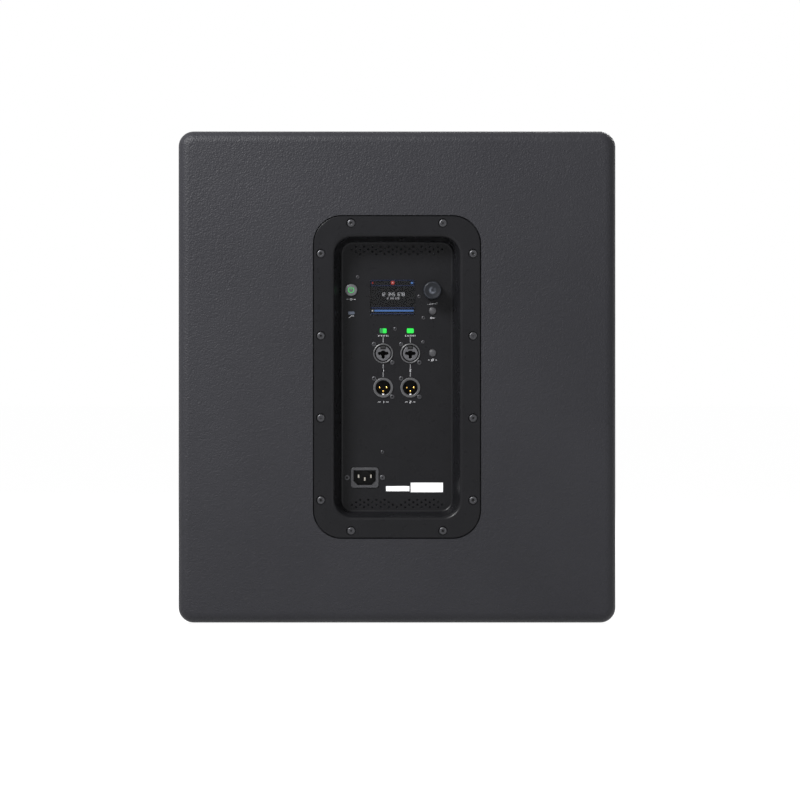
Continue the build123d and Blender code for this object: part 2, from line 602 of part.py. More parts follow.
def recess_loft(offset, y_mouth, y_floor):
    """The drafted hollow of the recess, grown outwards by an offset."""
    draft_x = (RECESS_WIDTH - RECESS_FLOOR_WIDTH) / 2 / RECESS_DEPTH
    draft_z = (RECESS_HEIGHT - RECESS_FLOOR_HEIGHT) / 2 / RECESS_DEPTH
    draft_r = (RECESS_CORNER_RADIUS - RECESS_FLOOR_CORNER_RADIUS) / RECESS_DEPTH
    sections = []
    for y in (y_mouth, y_floor):
        down = BACK_Y - y
        width = RECESS_WIDTH + 2 * offset - 2 * draft_x * down
        height = RECESS_HEIGHT + 2 * offset - 2 * draft_z * down
        radius = RECESS_CORNER_RADIUS + offset - draft_r * down
        plane = Plane(origin=(0, y, CENTRE_Z), x_dir=(1, 0, 0), z_dir=(0, 1, 0))
        sections.append(plane * RectangleRounded(width, height, radius))
    return loft(sections, ruled=True)


def inlet_outline(width, height, corner):
    """The mains inlet's opening: a rectangle with its two lower corners cut off."""
    half_w = width / 2
    half_h = height / 2
    return Polyline((-half_w, half_h), (half_w, half_h), (half_w, -half_h + corner),
                    (half_w - corner, -half_h), (-half_w + corner, -half_h), (-half_w, -half_h + corner),
                    close=True)


def panel_drillings():
    """Everything that is cut through the panel floor."""
    low = FLOOR_BACK_Y - 1
    high = FLOOR_Y + 1
    x, z = on_floor(DISPLAY_AT)
    cuts = [slab_y(DISPLAY_WIDTH + 2 * PANEL_FIT, DISPLAY_HEIGHT + 2 * PANEL_FIT, 1.0, low, high, x, z)]
    for place, radius in ((POWER_BUTTON_AT, POWER_BUTTON_RADIUS), (BACK_BUTTON_AT, SMALL_BUTTON_RADIUS),
                          (POLARITY_BUTTON_AT, SMALL_BUTTON_RADIUS)):
        x, z = on_floor(place)
        cuts.append(rod_y(radius + BUTTON_CLEARANCE, low, high, x, z))
    x, z = on_floor(KNOB_AT)
    cuts.append(rod_y(BUSHING_RADIUS + 0.2, low, high, x, z))
    x, z = on_floor(LIMIT_LED_AT)
    cuts.append(slab_y(7.5 + 2 * PANEL_FIT, 3.6 + 2 * PANEL_FIT, 1.2, low, high, x, z))
    for x in CHANNEL_XS:
        cuts.append(slab_y(7.9 + 2 * PANEL_FIT, 5.4 + 2 * PANEL_FIT, 1.4, low, high, x, CENTRE_Z + SIGNAL_LED_Z))
        for jack_z in (COMBO_JACK_Z, THRU_JACK_Z):
            z = CENTRE_Z + jack_z
            cuts.append(rod_y(JACK_RING_RADIUS + PANEL_FIT, low, high, x, z))
            for side in (-1, 1):
                cuts.append(rod_y(1.6, low, high, x - side * JACK_SCREW_OFFSET, z - side * JACK_SCREW_OFFSET))
    x, z = on_floor(INLET_AT)
    cuts.append(slab_y(INLET_FRAME_WIDTH + 2 * PANEL_FIT, INLET_FRAME_HEIGHT + 2 * PANEL_FIT, 3.6, low, high, x, z))
    for side in (-0.5, 0.5):
        cuts.append(rod_y(1.9, low, high, x + side * INLET_SCREW_PITCH, z))
    for place in PANEL_SCREW_PLACES:
        x, z = on_floor(place)
        cuts.append(rod_y(1.3, low, high, x, z))
    for x, z in vent_hole_places():
        cuts.append(rod_y(VENT_RADIUS, low, high, x, z))
    return cuts


def build_amp_panel():
    """A pressed tray with a flush flange, its gasket and its screws."""
    flange = slab_y(AMP_WIDTH, AMP_HEIGHT, AMP_CORNER_RADIUS, FLANGE_BACK_Y, BACK_Y, z=CENTRE_Z)
    tray = flange + recess_loft(PANEL_SHEET, FLANGE_BACK_Y + 1, FLOOR_BACK_Y)
    hollow = recess_loft(0.0, BACK_Y + 1, FLOOR_Y)
    tray -= hollow
    mouth = tray.faces().filter_by(Axis.Y).sort_by(Axis.Y)[-1].inner_wires()[0]
    tray = fillet(mouth.edges(), RECESS_MOUTH_ROUND)
    for x, z in amp_screw_places():
        tray -= rod_y(2.6, FLANGE_BACK_Y - 1, BACK_Y + 1, x, z)
        tray -= rod_y(5.2, BACK_Y - 1.2, BACK_Y + 1, x, z)
    tray = tray - panel_drillings()
    nodes["amp_panel"] = tray

    gasket = slab_y(AMP_WIDTH - 4, AMP_HEIGHT - 4, AMP_CORNER_RADIUS - 2,
                    BACK_Y - REBATE_DEPTH, FLANGE_BACK_Y, z=CENTRE_Z)
    gasket -= amp_cutout(BACK_Y - REBATE_DEPTH - 1, BACK_Y)
    screws = []
    for x, z in amp_screw_places():
        gasket -= rod_y(2.6, BACK_Y - REBATE_DEPTH - 1, BACK_Y, x, z)
        screws.append(screw_y(3.9, 1.0, 1.9, 16.0, BACK_Y - 1.2, x, z))
    nodes["amp_gasket"] = gasket
    nodes["amp_screws"] = group(screws)


def build_display():
    """The colour display and its clear window."""
    x, z = on_floor(DISPLAY_AT)
    lens_back = FLOOR_BACK_Y + 0.4
    nodes["display_lens"] = slab_y(DISPLAY_WIDTH, DISPLAY_HEIGHT, 0.9, lens_back, FLOOR_Y + 0.2, x, z)
    nodes["display_module"] = slab_y(DISPLAY_WIDTH + 7, DISPLAY_HEIGHT + 7, 1.5,
                                     FLOOR_BACK_Y - 7, FLOOR_BACK_Y - 0.1, x, z)


def build_knob():
    """The encoder's pressing plunger, its shaft and the knob on it; returns the encoder's body."""
    x, z = on_floor(KNOB_AT)
    encoder_front = BOARD_FRONT_Y + 8.0
    bore_bottom = BOARD_FRONT_Y + 1.5
    bushing_front = FLOOR_Y + KNOB_PANEL_GAP - KNOB_PRESS - PRESS_RESERVE
    encoder = block(x - 7, x + 7, BOARD_FRONT_Y, encoder_front, z - 6.5, z + 6.5)
    encoder += rod_y(BUSHING_RADIUS, encoder_front, bushing_front, x, z)
    encoder -= rod_y(SHAFT_RADIUS + SHAFT_CLEARANCE, bore_bottom, bushing_front + 1, x, z)
    plunger_front = bore_bottom + KNOB_PRESS + 3.0
    nodes["encoder_plunger"] = rod_y(SHAFT_RADIUS, bore_bottom + KNOB_PRESS + 0.1, plunger_front, x, z)
    knob_back = FLOOR_Y + KNOB_PANEL_GAP
    knob_front = knob_back + KNOB_HEIGHT
    shaft_front = knob_back + 13.0
    nodes["encoder_shaft"] = rod_y(SHAFT_RADIUS, plunger_front + 0.1, shaft_front, x, z)
    knob = rod_y(KNOB_RADIUS, knob_back, knob_front, x, z)
    knob = fillet(knob.faces().sort_by(Axis.Y)[-1].edges(), 1.6)
    dish_radius = KNOB_RADIUS * 7
    dish = Pos(x, knob_front + dish_radius - 0.7, z) * Sphere(dish_radius)
    knob -= dish
    knob -= rod_y(SHAFT_RADIUS + 0.05, knob_back - 1, shaft_front, x, z)
    nodes["volume_knob"] = knob
    return encoder


def button(radius, proud, dome, place):
    """A push button with a retaining collar behind the panel."""
    x, z = on_floor(place)
    front = FLOOR_Y + proud
    collar_back = FLOOR_BACK_Y - 4.0
    cap = rod_y(radius, collar_back, front, x, z)
    cap = fillet(cap.faces().sort_by(Axis.Y)[-1].edges(), dome)
    collar_front = FLOOR_BACK_Y - 0.3
    return cap + rod_y(radius + 1.4, collar_back, collar_front, x, z)


def build_buttons_and_lights():
    """The three push buttons and the indicator lenses; returns the switches behind the buttons."""
    nodes["power_button"] = button(POWER_BUTTON_RADIUS, 2.4, 1.4, POWER_BUTTON_AT)
    nodes["back_button"] = button(SMALL_BUTTON_RADIUS, 1.6, 0.8, BACK_BUTTON_AT)
    nodes["polarity_button"] = button(SMALL_BUTTON_RADIUS, 1.6, 0.8, POLARITY_BUTTON_AT)
    switches = []
    switch_front = FLOOR_BACK_Y - 4.0 - BUTTON_PRESS - 0.1
    for place, size in ((POWER_BUTTON_AT, 5.0), (BACK_BUTTON_AT, 3.5), (POLARITY_BUTTON_AT, 3.5)):
        x, z = on_floor(place)
        body = block(x - size, x + size, BOARD_FRONT_Y, switch_front - 2, z - size, z + size)
        switches.append(body + rod_y(size * 0.5, switch_front - 2, switch_front, x, z))
    x, z = on_floor(LIMIT_LED_AT)
    nodes["limit_light"] = slab_y(7.5, 3.6, 1.0, FLOOR_BACK_Y - 2, FLOOR_Y + 0.5, x, z)
    lenses = []
    for x in CHANNEL_XS:
        lenses.append(slab_y(7.9, 5.4, 1.2, FLOOR_BACK_Y - 2, FLOOR_Y + 0.8, x, CENTRE_Z + SIGNAL_LED_Z))
    nodes["signal_lights"] = group(lenses)
    return switches


def build_jacks():
    """Two combination input jacks above two three-pin through connectors; returns their screws."""
    half = JACK_BODY_SIZE / 2
    ring_front = FLOOR_Y + JACK_RING_PROUD
    well_back = BOARD_FRONT_Y + 3.0
    inputs = []
    faces = []
    throughs = []
    pins = []
    screws = []
    for index, x in enumerate(CHANNEL_XS):
        z = CENTRE_Z + COMBO_JACK_Z
        shell = block(x - half, x + half, BOARD_FRONT_Y, FLOOR_BACK_Y, z - half, z + half)
        shell += rod_y(JACK_RING_RADIUS, FLOOR_BACK_Y, ring_front, x, z)
        shell -= rod_y(COMBO_BORE_RADIUS, well_back, ring_front + 1, x, z)
        face = rod_y(COMBO_FACE_RADIUS, well_back, ring_front - 0.8, x, z)
        face -= rod_y(PHONE_HOLE_RADIUS, well_back + 2, ring_front + 1, x, z)
        for angle in (180, 0, 270):
            pin_x = x + PIN_CIRCLE_RADIUS * math.cos(math.radians(angle))
            pin_z = z + PIN_CIRCLE_RADIUS * math.sin(math.radians(angle))
            face -= rod_y(1.9, well_back + 4, ring_front + 1, pin_x, pin_z)
        notch_back = well_back + 4.0
        face -= block(x - 3.0, x + 3.0, notch_back, ring_front + 1, z + 4.6, z + 10)
        latch_back = notch_back + LATCH_PRESS + PRESS_RESERVE
        latch = block(x - 2.5, x + 2.5, latch_back, ring_front - 0.4, z + 5.2, z + 8.6)
        nodes["input_latch_" + str(index + 1)] = latch
        faces.append(face)

        z = CENTRE_Z + THRU_JACK_Z
        through = block(x - half, x + half, BOARD_FRONT_Y, FLOOR_BACK_Y, z - half, z + half)
        through += rod_y(JACK_RING_RADIUS, FLOOR_BACK_Y, ring_front, x, z)
        through -= rod_y(THRU_BORE_RADIUS, well_back, ring_front + 1, x, z)
        for angle in (180, 0, 270):
            pin_x = x + PIN_CIRCLE_RADIUS * math.cos(math.radians(angle))
            pin_z = z + PIN_CIRCLE_RADIUS * math.sin(math.radians(angle))
            pins.append(rod_y(PIN_RADIUS, well_back, ring_front - 4.5, pin_x, pin_z))
        for jack_z in (COMBO_JACK_Z, THRU_JACK_Z):
            for side in (-1, 1):
                screw_x = x - side * JACK_SCREW_OFFSET
                screw_z = CENTRE_Z + jack_z - side * JACK_SCREW_OFFSET
                hole = rod_y(1.4, FLOOR_BACK_Y - 9, FLOOR_BACK_Y + 1, screw_x, screw_z)
                if jack_z == COMBO_JACK_Z:
                    shell -= hole
                else:
                    through -= hole
                screws.append(screw_y(2.5, 1.0, 1.2, 10.0, FLOOR_Y, screw_x, screw_z))
        inputs.append(shell)
        throughs.append(through)
    nodes["input_jack_shells"] = group(inputs)
    nodes["input_jack_faces"] = group(faces)
    nodes["through_shells"] = group(throughs)
    nodes["through_pins"] = group(pins)
    return screws


def build_inlet():
    """The mains inlet with its three blades; returns its screws and the panel's small ones."""
    x, z = on_floor(INLET_AT)
    front = FLOOR_Y + 1.2
    bottom = front - INLET_DEPTH
    back = bottom - 3.0
    inlet = slab_y(INLET_FRAME_WIDTH, INLET_FRAME_HEIGHT, 3.5, back, front, x, z)
    ear = slab_y(INLET_SCREW_PITCH + 9, INLET_FRAME_HEIGHT - 3, 3.0, FLOOR_BACK_Y - 3, FLOOR_BACK_Y, x, z)
    inlet += ear
    opening = extrude(make_face(inlet_outline(INLET_OPENING_WIDTH, INLET_OPENING_HEIGHT, 4.6)), INLET_DEPTH + 1)
    inlet -= Pos(x, front + 1, z) * Rot(90, 0, 0) * opening
    screws = []
    for side in (-0.5, 0.5):
        screw_x = x + side * INLET_SCREW_PITCH
        inlet -= rod_y(1.7, FLOOR_BACK_Y - 4, FLOOR_BACK_Y + 1, screw_x, z)
        screws.append(screw_y(2.9, 1.2, 1.5, 8.0, FLOOR_Y, screw_x, z))
    nodes["mains_inlet"] = inlet
    blade_front = front - 3.5
    blades = []
    for blade_x, blade_z in ((-BLADE_PITCH / 2, 1.5), (BLADE_PITCH / 2, 1.5), (0, -1.7)):
        blades.append(block(x + blade_x - 1, x + blade_x + 1, bottom, blade_front,
                            z + blade_z - 2, z + blade_z + 2))
    nodes["inlet_blades"] = group(blades)
    for place in PANEL_SCREW_PLACES:
        screw_x, screw_z = on_floor(place)
        screws.append(screw_y(1.9, 0.7, 1.1, PANEL_SHEET, FLOOR_Y, screw_x, screw_z))
    return screws


def build_labels():
    """Two blank stickers on the panel floor."""
    labels = []
    for place, width, height in ((SMALL_LABEL_AT, 26.4, 5.8), (LARGE_LABEL_AT, 36.4, 10.8)):
        x, z = on_floor(place)
        labels.append(slab_y(width, height, 0.6, FLOOR_Y, FLOOR_Y + 0.15, x, z))
    nodes["blank_labels"] = group(labels)


def build_electronics():
    """Boards, supply parts and the cover that closes the amplifier off from the cabinet's air."""
    cover_front = FLOOR_BACK_Y + 1
    cover_back = cover_front - AMP_COVER_DEPTH
    wide = RECESS_FLOOR_WIDTH / 2 + PANEL_SHEET + 0.8
    tall = RECESS_FLOOR_HEIGHT / 2 + PANEL_SHEET + 0.8
    corner = RECESS_FLOOR_CORNER_RADIUS + PANEL_SHEET
    cover = slab_y(2 * (wide + AMP_COVER_SHEET), 2 * (tall + AMP_COVER_SHEET), corner + AMP_COVER_SHEET,
                   cover_back, cover_front, z=CENTRE_Z)
    cover -= slab_y(2 * wide, 2 * tall, corner, cover_back + AMP_COVER_SHEET, cover_front + 1, z=CENTRE_Z)
    nodes["amp_cover"] = cover

    board_half_x = wide - 4
    control_low = CENTRE_Z + THRU_JACK_Z - JACK_BODY_SIZE / 2 - 4
    control_high = CENTRE_Z + tall - 18
    board_back = BOARD_FRONT_Y - BOARD_THICKNESS
    board = block(-board_half_x, board_half_x, board_back, BOARD_FRONT_Y, control_low, control_high)
    posts = []
    for x in (-board_half_x + 4, board_half_x - 4):
        for z in (control_low + 6, control_high - 6):
            posts.append(rod_y(2.8, BOARD_FRONT_Y, FLOOR_BACK_Y, x, z))
    nodes["control_board"] = joined([board] + posts)

    power_back = cover_back + AMP_COVER_SHEET + 8
    power_front = power_back + BOARD_THICKNESS
    power_low = CENTRE_Z - tall + 14
    power_high = CENTRE_Z + tall - 14
    power_board = block(-board_half_x, board_half_x, power_back, power_front, power_low, power_high)
    feet = []
    for x in (-board_half_x + 5, board_half_x - 5):
        for z in (power_low + 8, CENTRE_Z, power_high - 8):
            feet.append(rod_y(3.0, cover_back + AMP_COVER_SHEET, power_back, x, z))
    nodes["power_board"] = joined([power_board] + feet)

    capacitors = []
    for column in range(2):
        for row in range(2):
            x = -38 + column * 27
            z = CENTRE_Z - 60 - row * 27
            capacitors.append(rod_y(12.5, power_front, power_front + 40, x, z))
    x = 30
    z = CENTRE_Z - 50
    core = block(x - 22, x + 22, power_front, power_front + 30, z - 20, z + 20)
    coil = block(x - 14, x + 14, power_front + 5, power_front + 36, z - 26, z + 26)
    nodes["supply_parts"] = group(capacitors + [core + coil])

    sink_half = 44.0
    fin_thickness = 1.8
    fin_count = 12
    fin_pitch = (2 * sink_half - fin_thickness) / (fin_count - 1)
    sink_low = CENTRE_Z + 20
    sink_high = CENTRE_Z + 110
    fins = [block(-sink_half, sink_half, power_front, power_front + 6, sink_low, sink_high)]
    for index in range(fin_count):
        x = -sink_half + index * fin_pitch
        fins.append(block(x, x + fin_thickness, power_front + 6, power_front + 42, sink_low, sink_high))
    nodes["heat_sink"] = joined(fins)


def tube_along(points, radius):
    """A round lead along straight runs joined by arcs as large as its runs allow."""
    vectors = [Vector(*point) for point in points]
    radii = []
    for before, here, after in zip(vectors, vectors[1:], vectors[2:]):
        run_in = here - before
        run_out = after - here
        half_turn = math.radians(run_in.get_angle(run_out)) / 2
        radii.append(0.45 * min(run_in.length, run_out.length) / math.tan(half_turn))
    path = FilletPolyline(*points, radius=radii)
    start = Plane(origin=path @ 0, z_dir=path % 0)
    tube = sweep(start * Circle(radius), path=path)
    print("lead radii", [round(r, 1) for r in radii], "volume ratio",
          round(tube.volume / (math.pi * radius ** 2 * path.length), 4))
    return tube


def build_leads():
    """The two speaker leads from the amplifier cover to the woofer's terminals."""
    start_y = BAFFLE_FRONT + 112.0
    start_z = WOOFER_Z - MOTOR_RADIUS - 6.0
    end_y = FLOOR_BACK_Y + 1 - AMP_COVER_DEPTH
    end_z = CENTRE_Z - 60.0
    span = end_y - start_y
    leads = []
    for x in (-7.0, 7.0):
        drop = 24.0
        points = [(x, start_y, start_z), (x, start_y + span * 0.1, start_z),
                  (x, start_y + span * 0.27, start_z - drop * 0.6), (x * 0.9, start_y + span * 0.43, start_z - drop),
                  (x * 0.8, start_y + span * 0.6, start_z - drop * 0.85), (x * 0.9, start_y + span * 0.76, end_z - 5),
                  (x, start_y + span * 0.9, end_z), (x, end_y, end_z)]
        leads.append(tube_along(points, 1.6))
    nodes["speaker_leads"] = group(leads)


def main():
    """Build every piece and write one file for each."""
    build_cabinet()
    nodes["fitting_screws"] = group(build_feet() + build_pole_socket() + build_handles())
    build_grille()
    build_woofer()
    build_amp_panel()
    build_display()
    nodes["board_switches"] = group([build_knob()] + build_buttons_and_lights())
    nodes["panel_screws"] = group(build_jacks() + build_inlet())
    build_labels()
    build_electronics()
    build_leads()
    os.makedirs("parts", exist_ok=True)
    for name, shape in nodes.items():
        export_step(shape, "parts/" + name + ".step")
    print(len(nodes), "nodes")


main()
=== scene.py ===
import logging
import math
from dataclasses import dataclass
from enum import Enum

import bmesh
import bpy
from mathutils import Matrix, Vector


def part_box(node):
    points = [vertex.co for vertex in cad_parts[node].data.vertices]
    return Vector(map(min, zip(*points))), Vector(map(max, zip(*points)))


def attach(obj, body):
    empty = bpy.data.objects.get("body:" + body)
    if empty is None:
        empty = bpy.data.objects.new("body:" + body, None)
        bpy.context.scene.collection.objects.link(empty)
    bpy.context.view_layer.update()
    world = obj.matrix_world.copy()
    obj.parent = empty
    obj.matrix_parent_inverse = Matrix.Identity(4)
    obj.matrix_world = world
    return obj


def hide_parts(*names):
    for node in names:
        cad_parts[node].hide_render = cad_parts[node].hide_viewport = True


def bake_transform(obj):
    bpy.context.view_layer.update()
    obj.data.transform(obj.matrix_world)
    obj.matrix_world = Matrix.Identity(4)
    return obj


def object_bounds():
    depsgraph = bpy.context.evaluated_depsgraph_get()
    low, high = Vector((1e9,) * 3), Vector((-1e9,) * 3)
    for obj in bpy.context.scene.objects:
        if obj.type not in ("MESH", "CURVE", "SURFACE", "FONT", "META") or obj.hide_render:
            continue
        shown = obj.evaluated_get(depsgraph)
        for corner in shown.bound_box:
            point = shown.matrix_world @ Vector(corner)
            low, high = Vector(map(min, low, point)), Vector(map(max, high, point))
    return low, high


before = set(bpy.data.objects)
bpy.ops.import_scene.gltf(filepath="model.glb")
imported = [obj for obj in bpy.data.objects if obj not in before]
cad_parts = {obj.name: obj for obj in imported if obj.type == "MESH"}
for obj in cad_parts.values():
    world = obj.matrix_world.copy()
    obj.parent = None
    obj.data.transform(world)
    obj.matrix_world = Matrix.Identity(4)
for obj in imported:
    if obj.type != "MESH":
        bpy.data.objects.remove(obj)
cad_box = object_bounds()

MM = 0.001
BACKWARDS = Vector((0, 1, 0))
Colour = tuple[int, int, int]
Ring = list[Vector]
Path = list[tuple[float, float]]
log = logging.getLogger("cabinet")


# ---------------------------------------------------------------- finishes
class Grain(Enum):
    """The fine relief of a finish."""

    PEBBLE = "a sprayed coat that dries in small round lumps"
    NOISE = "an even moulded or sprayed grain"
    BRUSHED = "fine parallel scratches"
    TURNED = "rings left by a lathe"
    WEAVE = "crossed threads"
    PORES = "open cells"
    FIBRE = "short matted fibres"
    WOOD = "long grain with layers"


def linear(colour: Colour) -> tuple[float, float, float, float]:
    """A screen colour as scene-linear values.

    Args:
        colour: Red, green and blue from 0 to 255.

    Returns:
        The linear colour with full alpha.
    """
    parts = [c / 255 for c in colour]
    return tuple(p / 12.92 if p < 0.04045 else ((p + 0.055) / 1.055) ** 2.4 for p in parts) + (1.0,)


class Graph:
    """The node tree of one material, with short ways to add nodes to it."""

    def __init__(self, name: str) -> None:
        """Starts a material with one shader.

        Args:
            name: The material's name.
        """
        self.material = bpy.data.materials.new(name)
        self.material.use_nodes = True
        self.nodes = self.material.node_tree.nodes
        self.links = self.material.node_tree.links
        self.nodes.clear()
        self.shader = self.nodes.new("ShaderNodeBsdfPrincipled")
        output = self.nodes.new("ShaderNodeOutputMaterial")
        self.links.new(self.shader.outputs[0], output.inputs[0])
        self.place = self.nodes.new("ShaderNodeTexCoord").outputs["Object"]

    def put(self, **values: float | tuple) -> None:
        """Sets the shader's own sockets.

        Args:
            **values: Socket names, with underscores for spaces, and their constants.
        """
        for name, value in values.items():
            self.shader.inputs[name.replace("_", " ")].default_value = value

    def drive(self, name: str, socket: bpy.types.NodeSocket) -> None:
        """Joins a node's output to one of the shader's sockets.

        Args:
            name: The shader's socket.
            socket: The output that feeds it.
        """
        self.links.new(socket, self.shader.inputs[name])

    def stretched(self, scale: tuple[float, float, float]) -> bpy.types.NodeSocket:
        """The piece's coordinates, scaled by axis.

        Args:
            scale: The factor along each axis.

        Returns:
            The scaled coordinates.
        """
        node = self.nodes.new("ShaderNodeMapping")
        node.inputs["Scale"].default_value = scale
        self.links.new(self.place, node.inputs["Vector"])
        return node.outputs[0]

    def noise(self, scale: float, detail: float = 2.0, place: bpy.types.NodeSocket | None = None,
              distortion: float = 0.0) -> bpy.types.NodeSocket:
        """Soft random values.

        Args:
            scale: Lumps per metre.
            detail: Octaves.
            place: Coordinates, or the piece's own.
            distortion: How far the lumps are dragged.

        Returns:
            The value socket.
        """
        node = self.nodes.new("ShaderNodeTexNoise")
        node.inputs["Scale"].default_value = scale
        node.inputs["Detail"].default_value = detail
        node.inputs["Distortion"].default_value = distortion
        self.links.new(place or self.place, node.inputs["Vector"])
        return node.outputs[0]

    def cells(self, scale: float, smooth: bool = True, randomness: float = 1.0) -> bpy.types.NodeSocket:
        """Distances to scattered points.

        Args:
            scale: Cells per metre.
            smooth: Whether neighbouring cells melt together.
            randomness: How far the points stray from a grid.

        Returns:
            The distance socket.
        """
        node = self.nodes.new("ShaderNodeTexVoronoi")
        node.feature = "SMOOTH_F1" if smooth else "F1"
        node.inputs["Scale"].default_value = scale
        node.inputs["Randomness"].default_value = randomness
        self.links.new(self.place, node.inputs["Vector"])
        return node.outputs["Distance"]

    def bands(self, scale: float, axis: str, rings: bool = False,
              distortion: float = 0.0) -> bpy.types.NodeSocket:
        """Even bands or rings.

        Args:
            scale: Bands per metre, roughly.
            axis: X, Y or Z, which the bands cross or the rings go round.
            rings: Whether the bands are rings.
            distortion: How far noise drags them.

        Returns:
            The value socket.
        """
        node = self.nodes.new("ShaderNodeTexWave")
        node.wave_type = "RINGS" if rings else "BANDS"
        if rings:
            node.rings_direction = axis
        else:
            node.bands_direction = axis
        node.inputs["Scale"].default_value = scale
        node.inputs["Distortion"].default_value = distortion
        self.links.new(self.place, node.inputs["Vector"])
        return node.outputs["Fac"]

    def maths(self, kind: str, first: bpy.types.NodeSocket,
              second: bpy.types.NodeSocket | float) -> bpy.types.NodeSocket:
        """One sum on two values.

        Args:
            kind: Blender's name of the operation.
            first: The first value.
            second: The second value, or a constant.

        Returns:
            The result.
        """
        node = self.nodes.new("ShaderNodeMath")
        node.operation = kind
        self.links.new(first, node.inputs[0])
        if isinstance(second, float):
            node.inputs[1].default_value = second
        else:
            self.links.new(second, node.inputs[1])
        return node.outputs[0]

    def spanned(self, value: bpy.types.NodeSocket, low: float, high: float, to_low: float,
                to_high: float) -> bpy.types.NodeSocket:
        """A value moved from one range to another and held inside it.

        Args:
            value: The value.
            low: Where it starts.
            high: Where it ends.
            to_low: What the start becomes.
            to_high: What the end becomes.

        Returns:
            The new value.
        """
        node = self.nodes.new("ShaderNodeMapRange")
        self.links.new(value, node.inputs["Value"])
        for name, number in (("From Min", low), ("From Max", high), ("To Min", to_low), ("To Max", to_high)):
            node.inputs[name].default_value = number
        return node.outputs[0]

    def mixed(self, share: bpy.types.NodeSocket, first: bpy.types.NodeSocket | Colour,
              second: bpy.types.NodeSocket | Colour) -> bpy.types.NodeSocket:
        """Two colours mixed by a value.

        Args:
            share: How much of the second shows.
            first: The first colour.
            second: The second colour.

        Returns:
            The mixed colour.
        """
        node = self.nodes.new("ShaderNodeMix")
        node.data_type = "RGBA"
        self.links.new(share, node.inputs[0])
        for socket, colour in ((node.inputs[6], first), (node.inputs[7], second)):
            if isinstance(colour, tuple):
                socket.default_value = linear(colour)
            else:
                self.links.new(colour, socket)
        return node.outputs[2]

    def relief(self, height: bpy.types.NodeSocket, depth: float, strength: float = 1.0) -> None:
        """Bumps on the surface.

        Args:
            height: Their heights from 0 to 1.
            depth: The height of 1, in metres.
            strength: How much of it shows.
        """
        node = self.nodes.new("ShaderNodeBump")
        node.inputs["Distance"].default_value = depth
        node.inputs["Strength"].default_value = strength
        self.links.new(height, node.inputs["Height"])
        self.drive("Normal", node.outputs[0])


@dataclass(frozen=True)
class Finish:
    """A surface with mottled colour, fine relief, uneven roughness and rubbed edges."""

    name: str
    colour: Colour
    mottle: Colour
    roughness: float = 0.5
    unevenness: float = 0.08
    metallic: float = 0.0
    specular: float = 0.5
    mottle_size: float = 0.04
    grain: Grain = Grain.NOISE
    grain_size: float = 1.0 * MM
    grain_depth: float = 0.03 * MM
    rubbed: Colour | None = None
    sheen: float = 0.0
    coat: float = 0.0

    def heights(self, graph: Graph) -> bpy.types.NodeSocket:
        """The relief of this finish.

        Args:
            graph: The material's nodes.

        Returns:
            Heights from about 0 to 1.
        """
        per_metre = 1 / self.grain_size
        if self.grain is Grain.PEBBLE:
            lumps = graph.spanned(graph.cells(per_metre), 0.0, 0.75, 1.0, 0.0)
            return graph.maths("ADD", lumps, graph.noise(per_metre * 0.35, 2.0))
        if self.grain is Grain.BRUSHED:
            return graph.noise(per_metre, 3.0, graph.stretched((0.04, 1.0, 1.0)))
        if self.grain is Grain.TURNED:
            return graph.bands(per_metre * 0.3, "Y", True, 0.4)
        if self.grain is Grain.WEAVE:
            return graph.maths("MULTIPLY", graph.bands(per_metre * 0.32, "X"), graph.bands(per_metre * 0.32, "Z"))
        if self.grain is Grain.PORES:
            return graph.spanned(graph.cells(per_metre, False), 0.1, 0.6, 0.0, 1.0)
        if self.grain is Grain.FIBRE:
            return graph.noise(per_metre, 5.0, graph.stretched((1.0, 0.25, 0.6)), 1.5)
        if self.grain is Grain.WOOD:
            return graph.noise(per_metre, 4.0, graph.stretched((0.06, 0.06, 1.0)), 0.6)
        return graph.noise(per_metre, 3.0)

    def tone(self, graph: Graph, heights: bpy.types.NodeSocket) -> bpy.types.NodeSocket:
        """The colour of this finish over the surface.

        Args:
            graph: The material's nodes.
            heights: The relief; the mottle colour shows more where it stands higher.

        Returns:
            The colour socket.
        """
        patches = graph.spanned(graph.noise(1 / self.mottle_size, 4.0), 0.35, 0.65, 0.0, 1.0)
        colour = graph.mixed(graph.maths("MULTIPLY", patches, heights), self.colour, self.mottle)
        if self.rubbed:
            edges = graph.nodes.new("ShaderNodeNewGeometry").outputs["Pointiness"]
            patchy = graph.maths("MULTIPLY", graph.spanned(edges, 0.53, 0.62, 0.0, 1.0), patches)
            colour = graph.mixed(patchy, colour, self.rubbed)
        return colour

    def make(self) -> bpy.types.Material:
        """The material of this finish, made once."""
        title = self.name + "_finish"
        found = bpy.data.materials.get(title)
        if found:
            return found
        graph = Graph(title)
        heights = self.heights(graph)
        graph.drive("Base Color", self.tone(graph, heights))
        low = max(self.roughness - self.unevenness, 0.02)
        high = min(self.roughness + self.unevenness, 1.0)
        graph.drive("Roughness", graph.spanned(graph.noise(2.5 / self.mottle_size, 3.0), 0.3, 0.7, low, high))
        graph.put(Metallic=self.metallic, Specular_IOR_Level=self.specular, Sheen_Weight=self.sheen,
                  Coat_Weight=self.coat)
        graph.relief(heights, self.grain_depth)
        self.extras(graph)
        return graph.material

    def extras(self, graph: Graph) -> None:
        """What a special finish adds; this one adds nothing."""


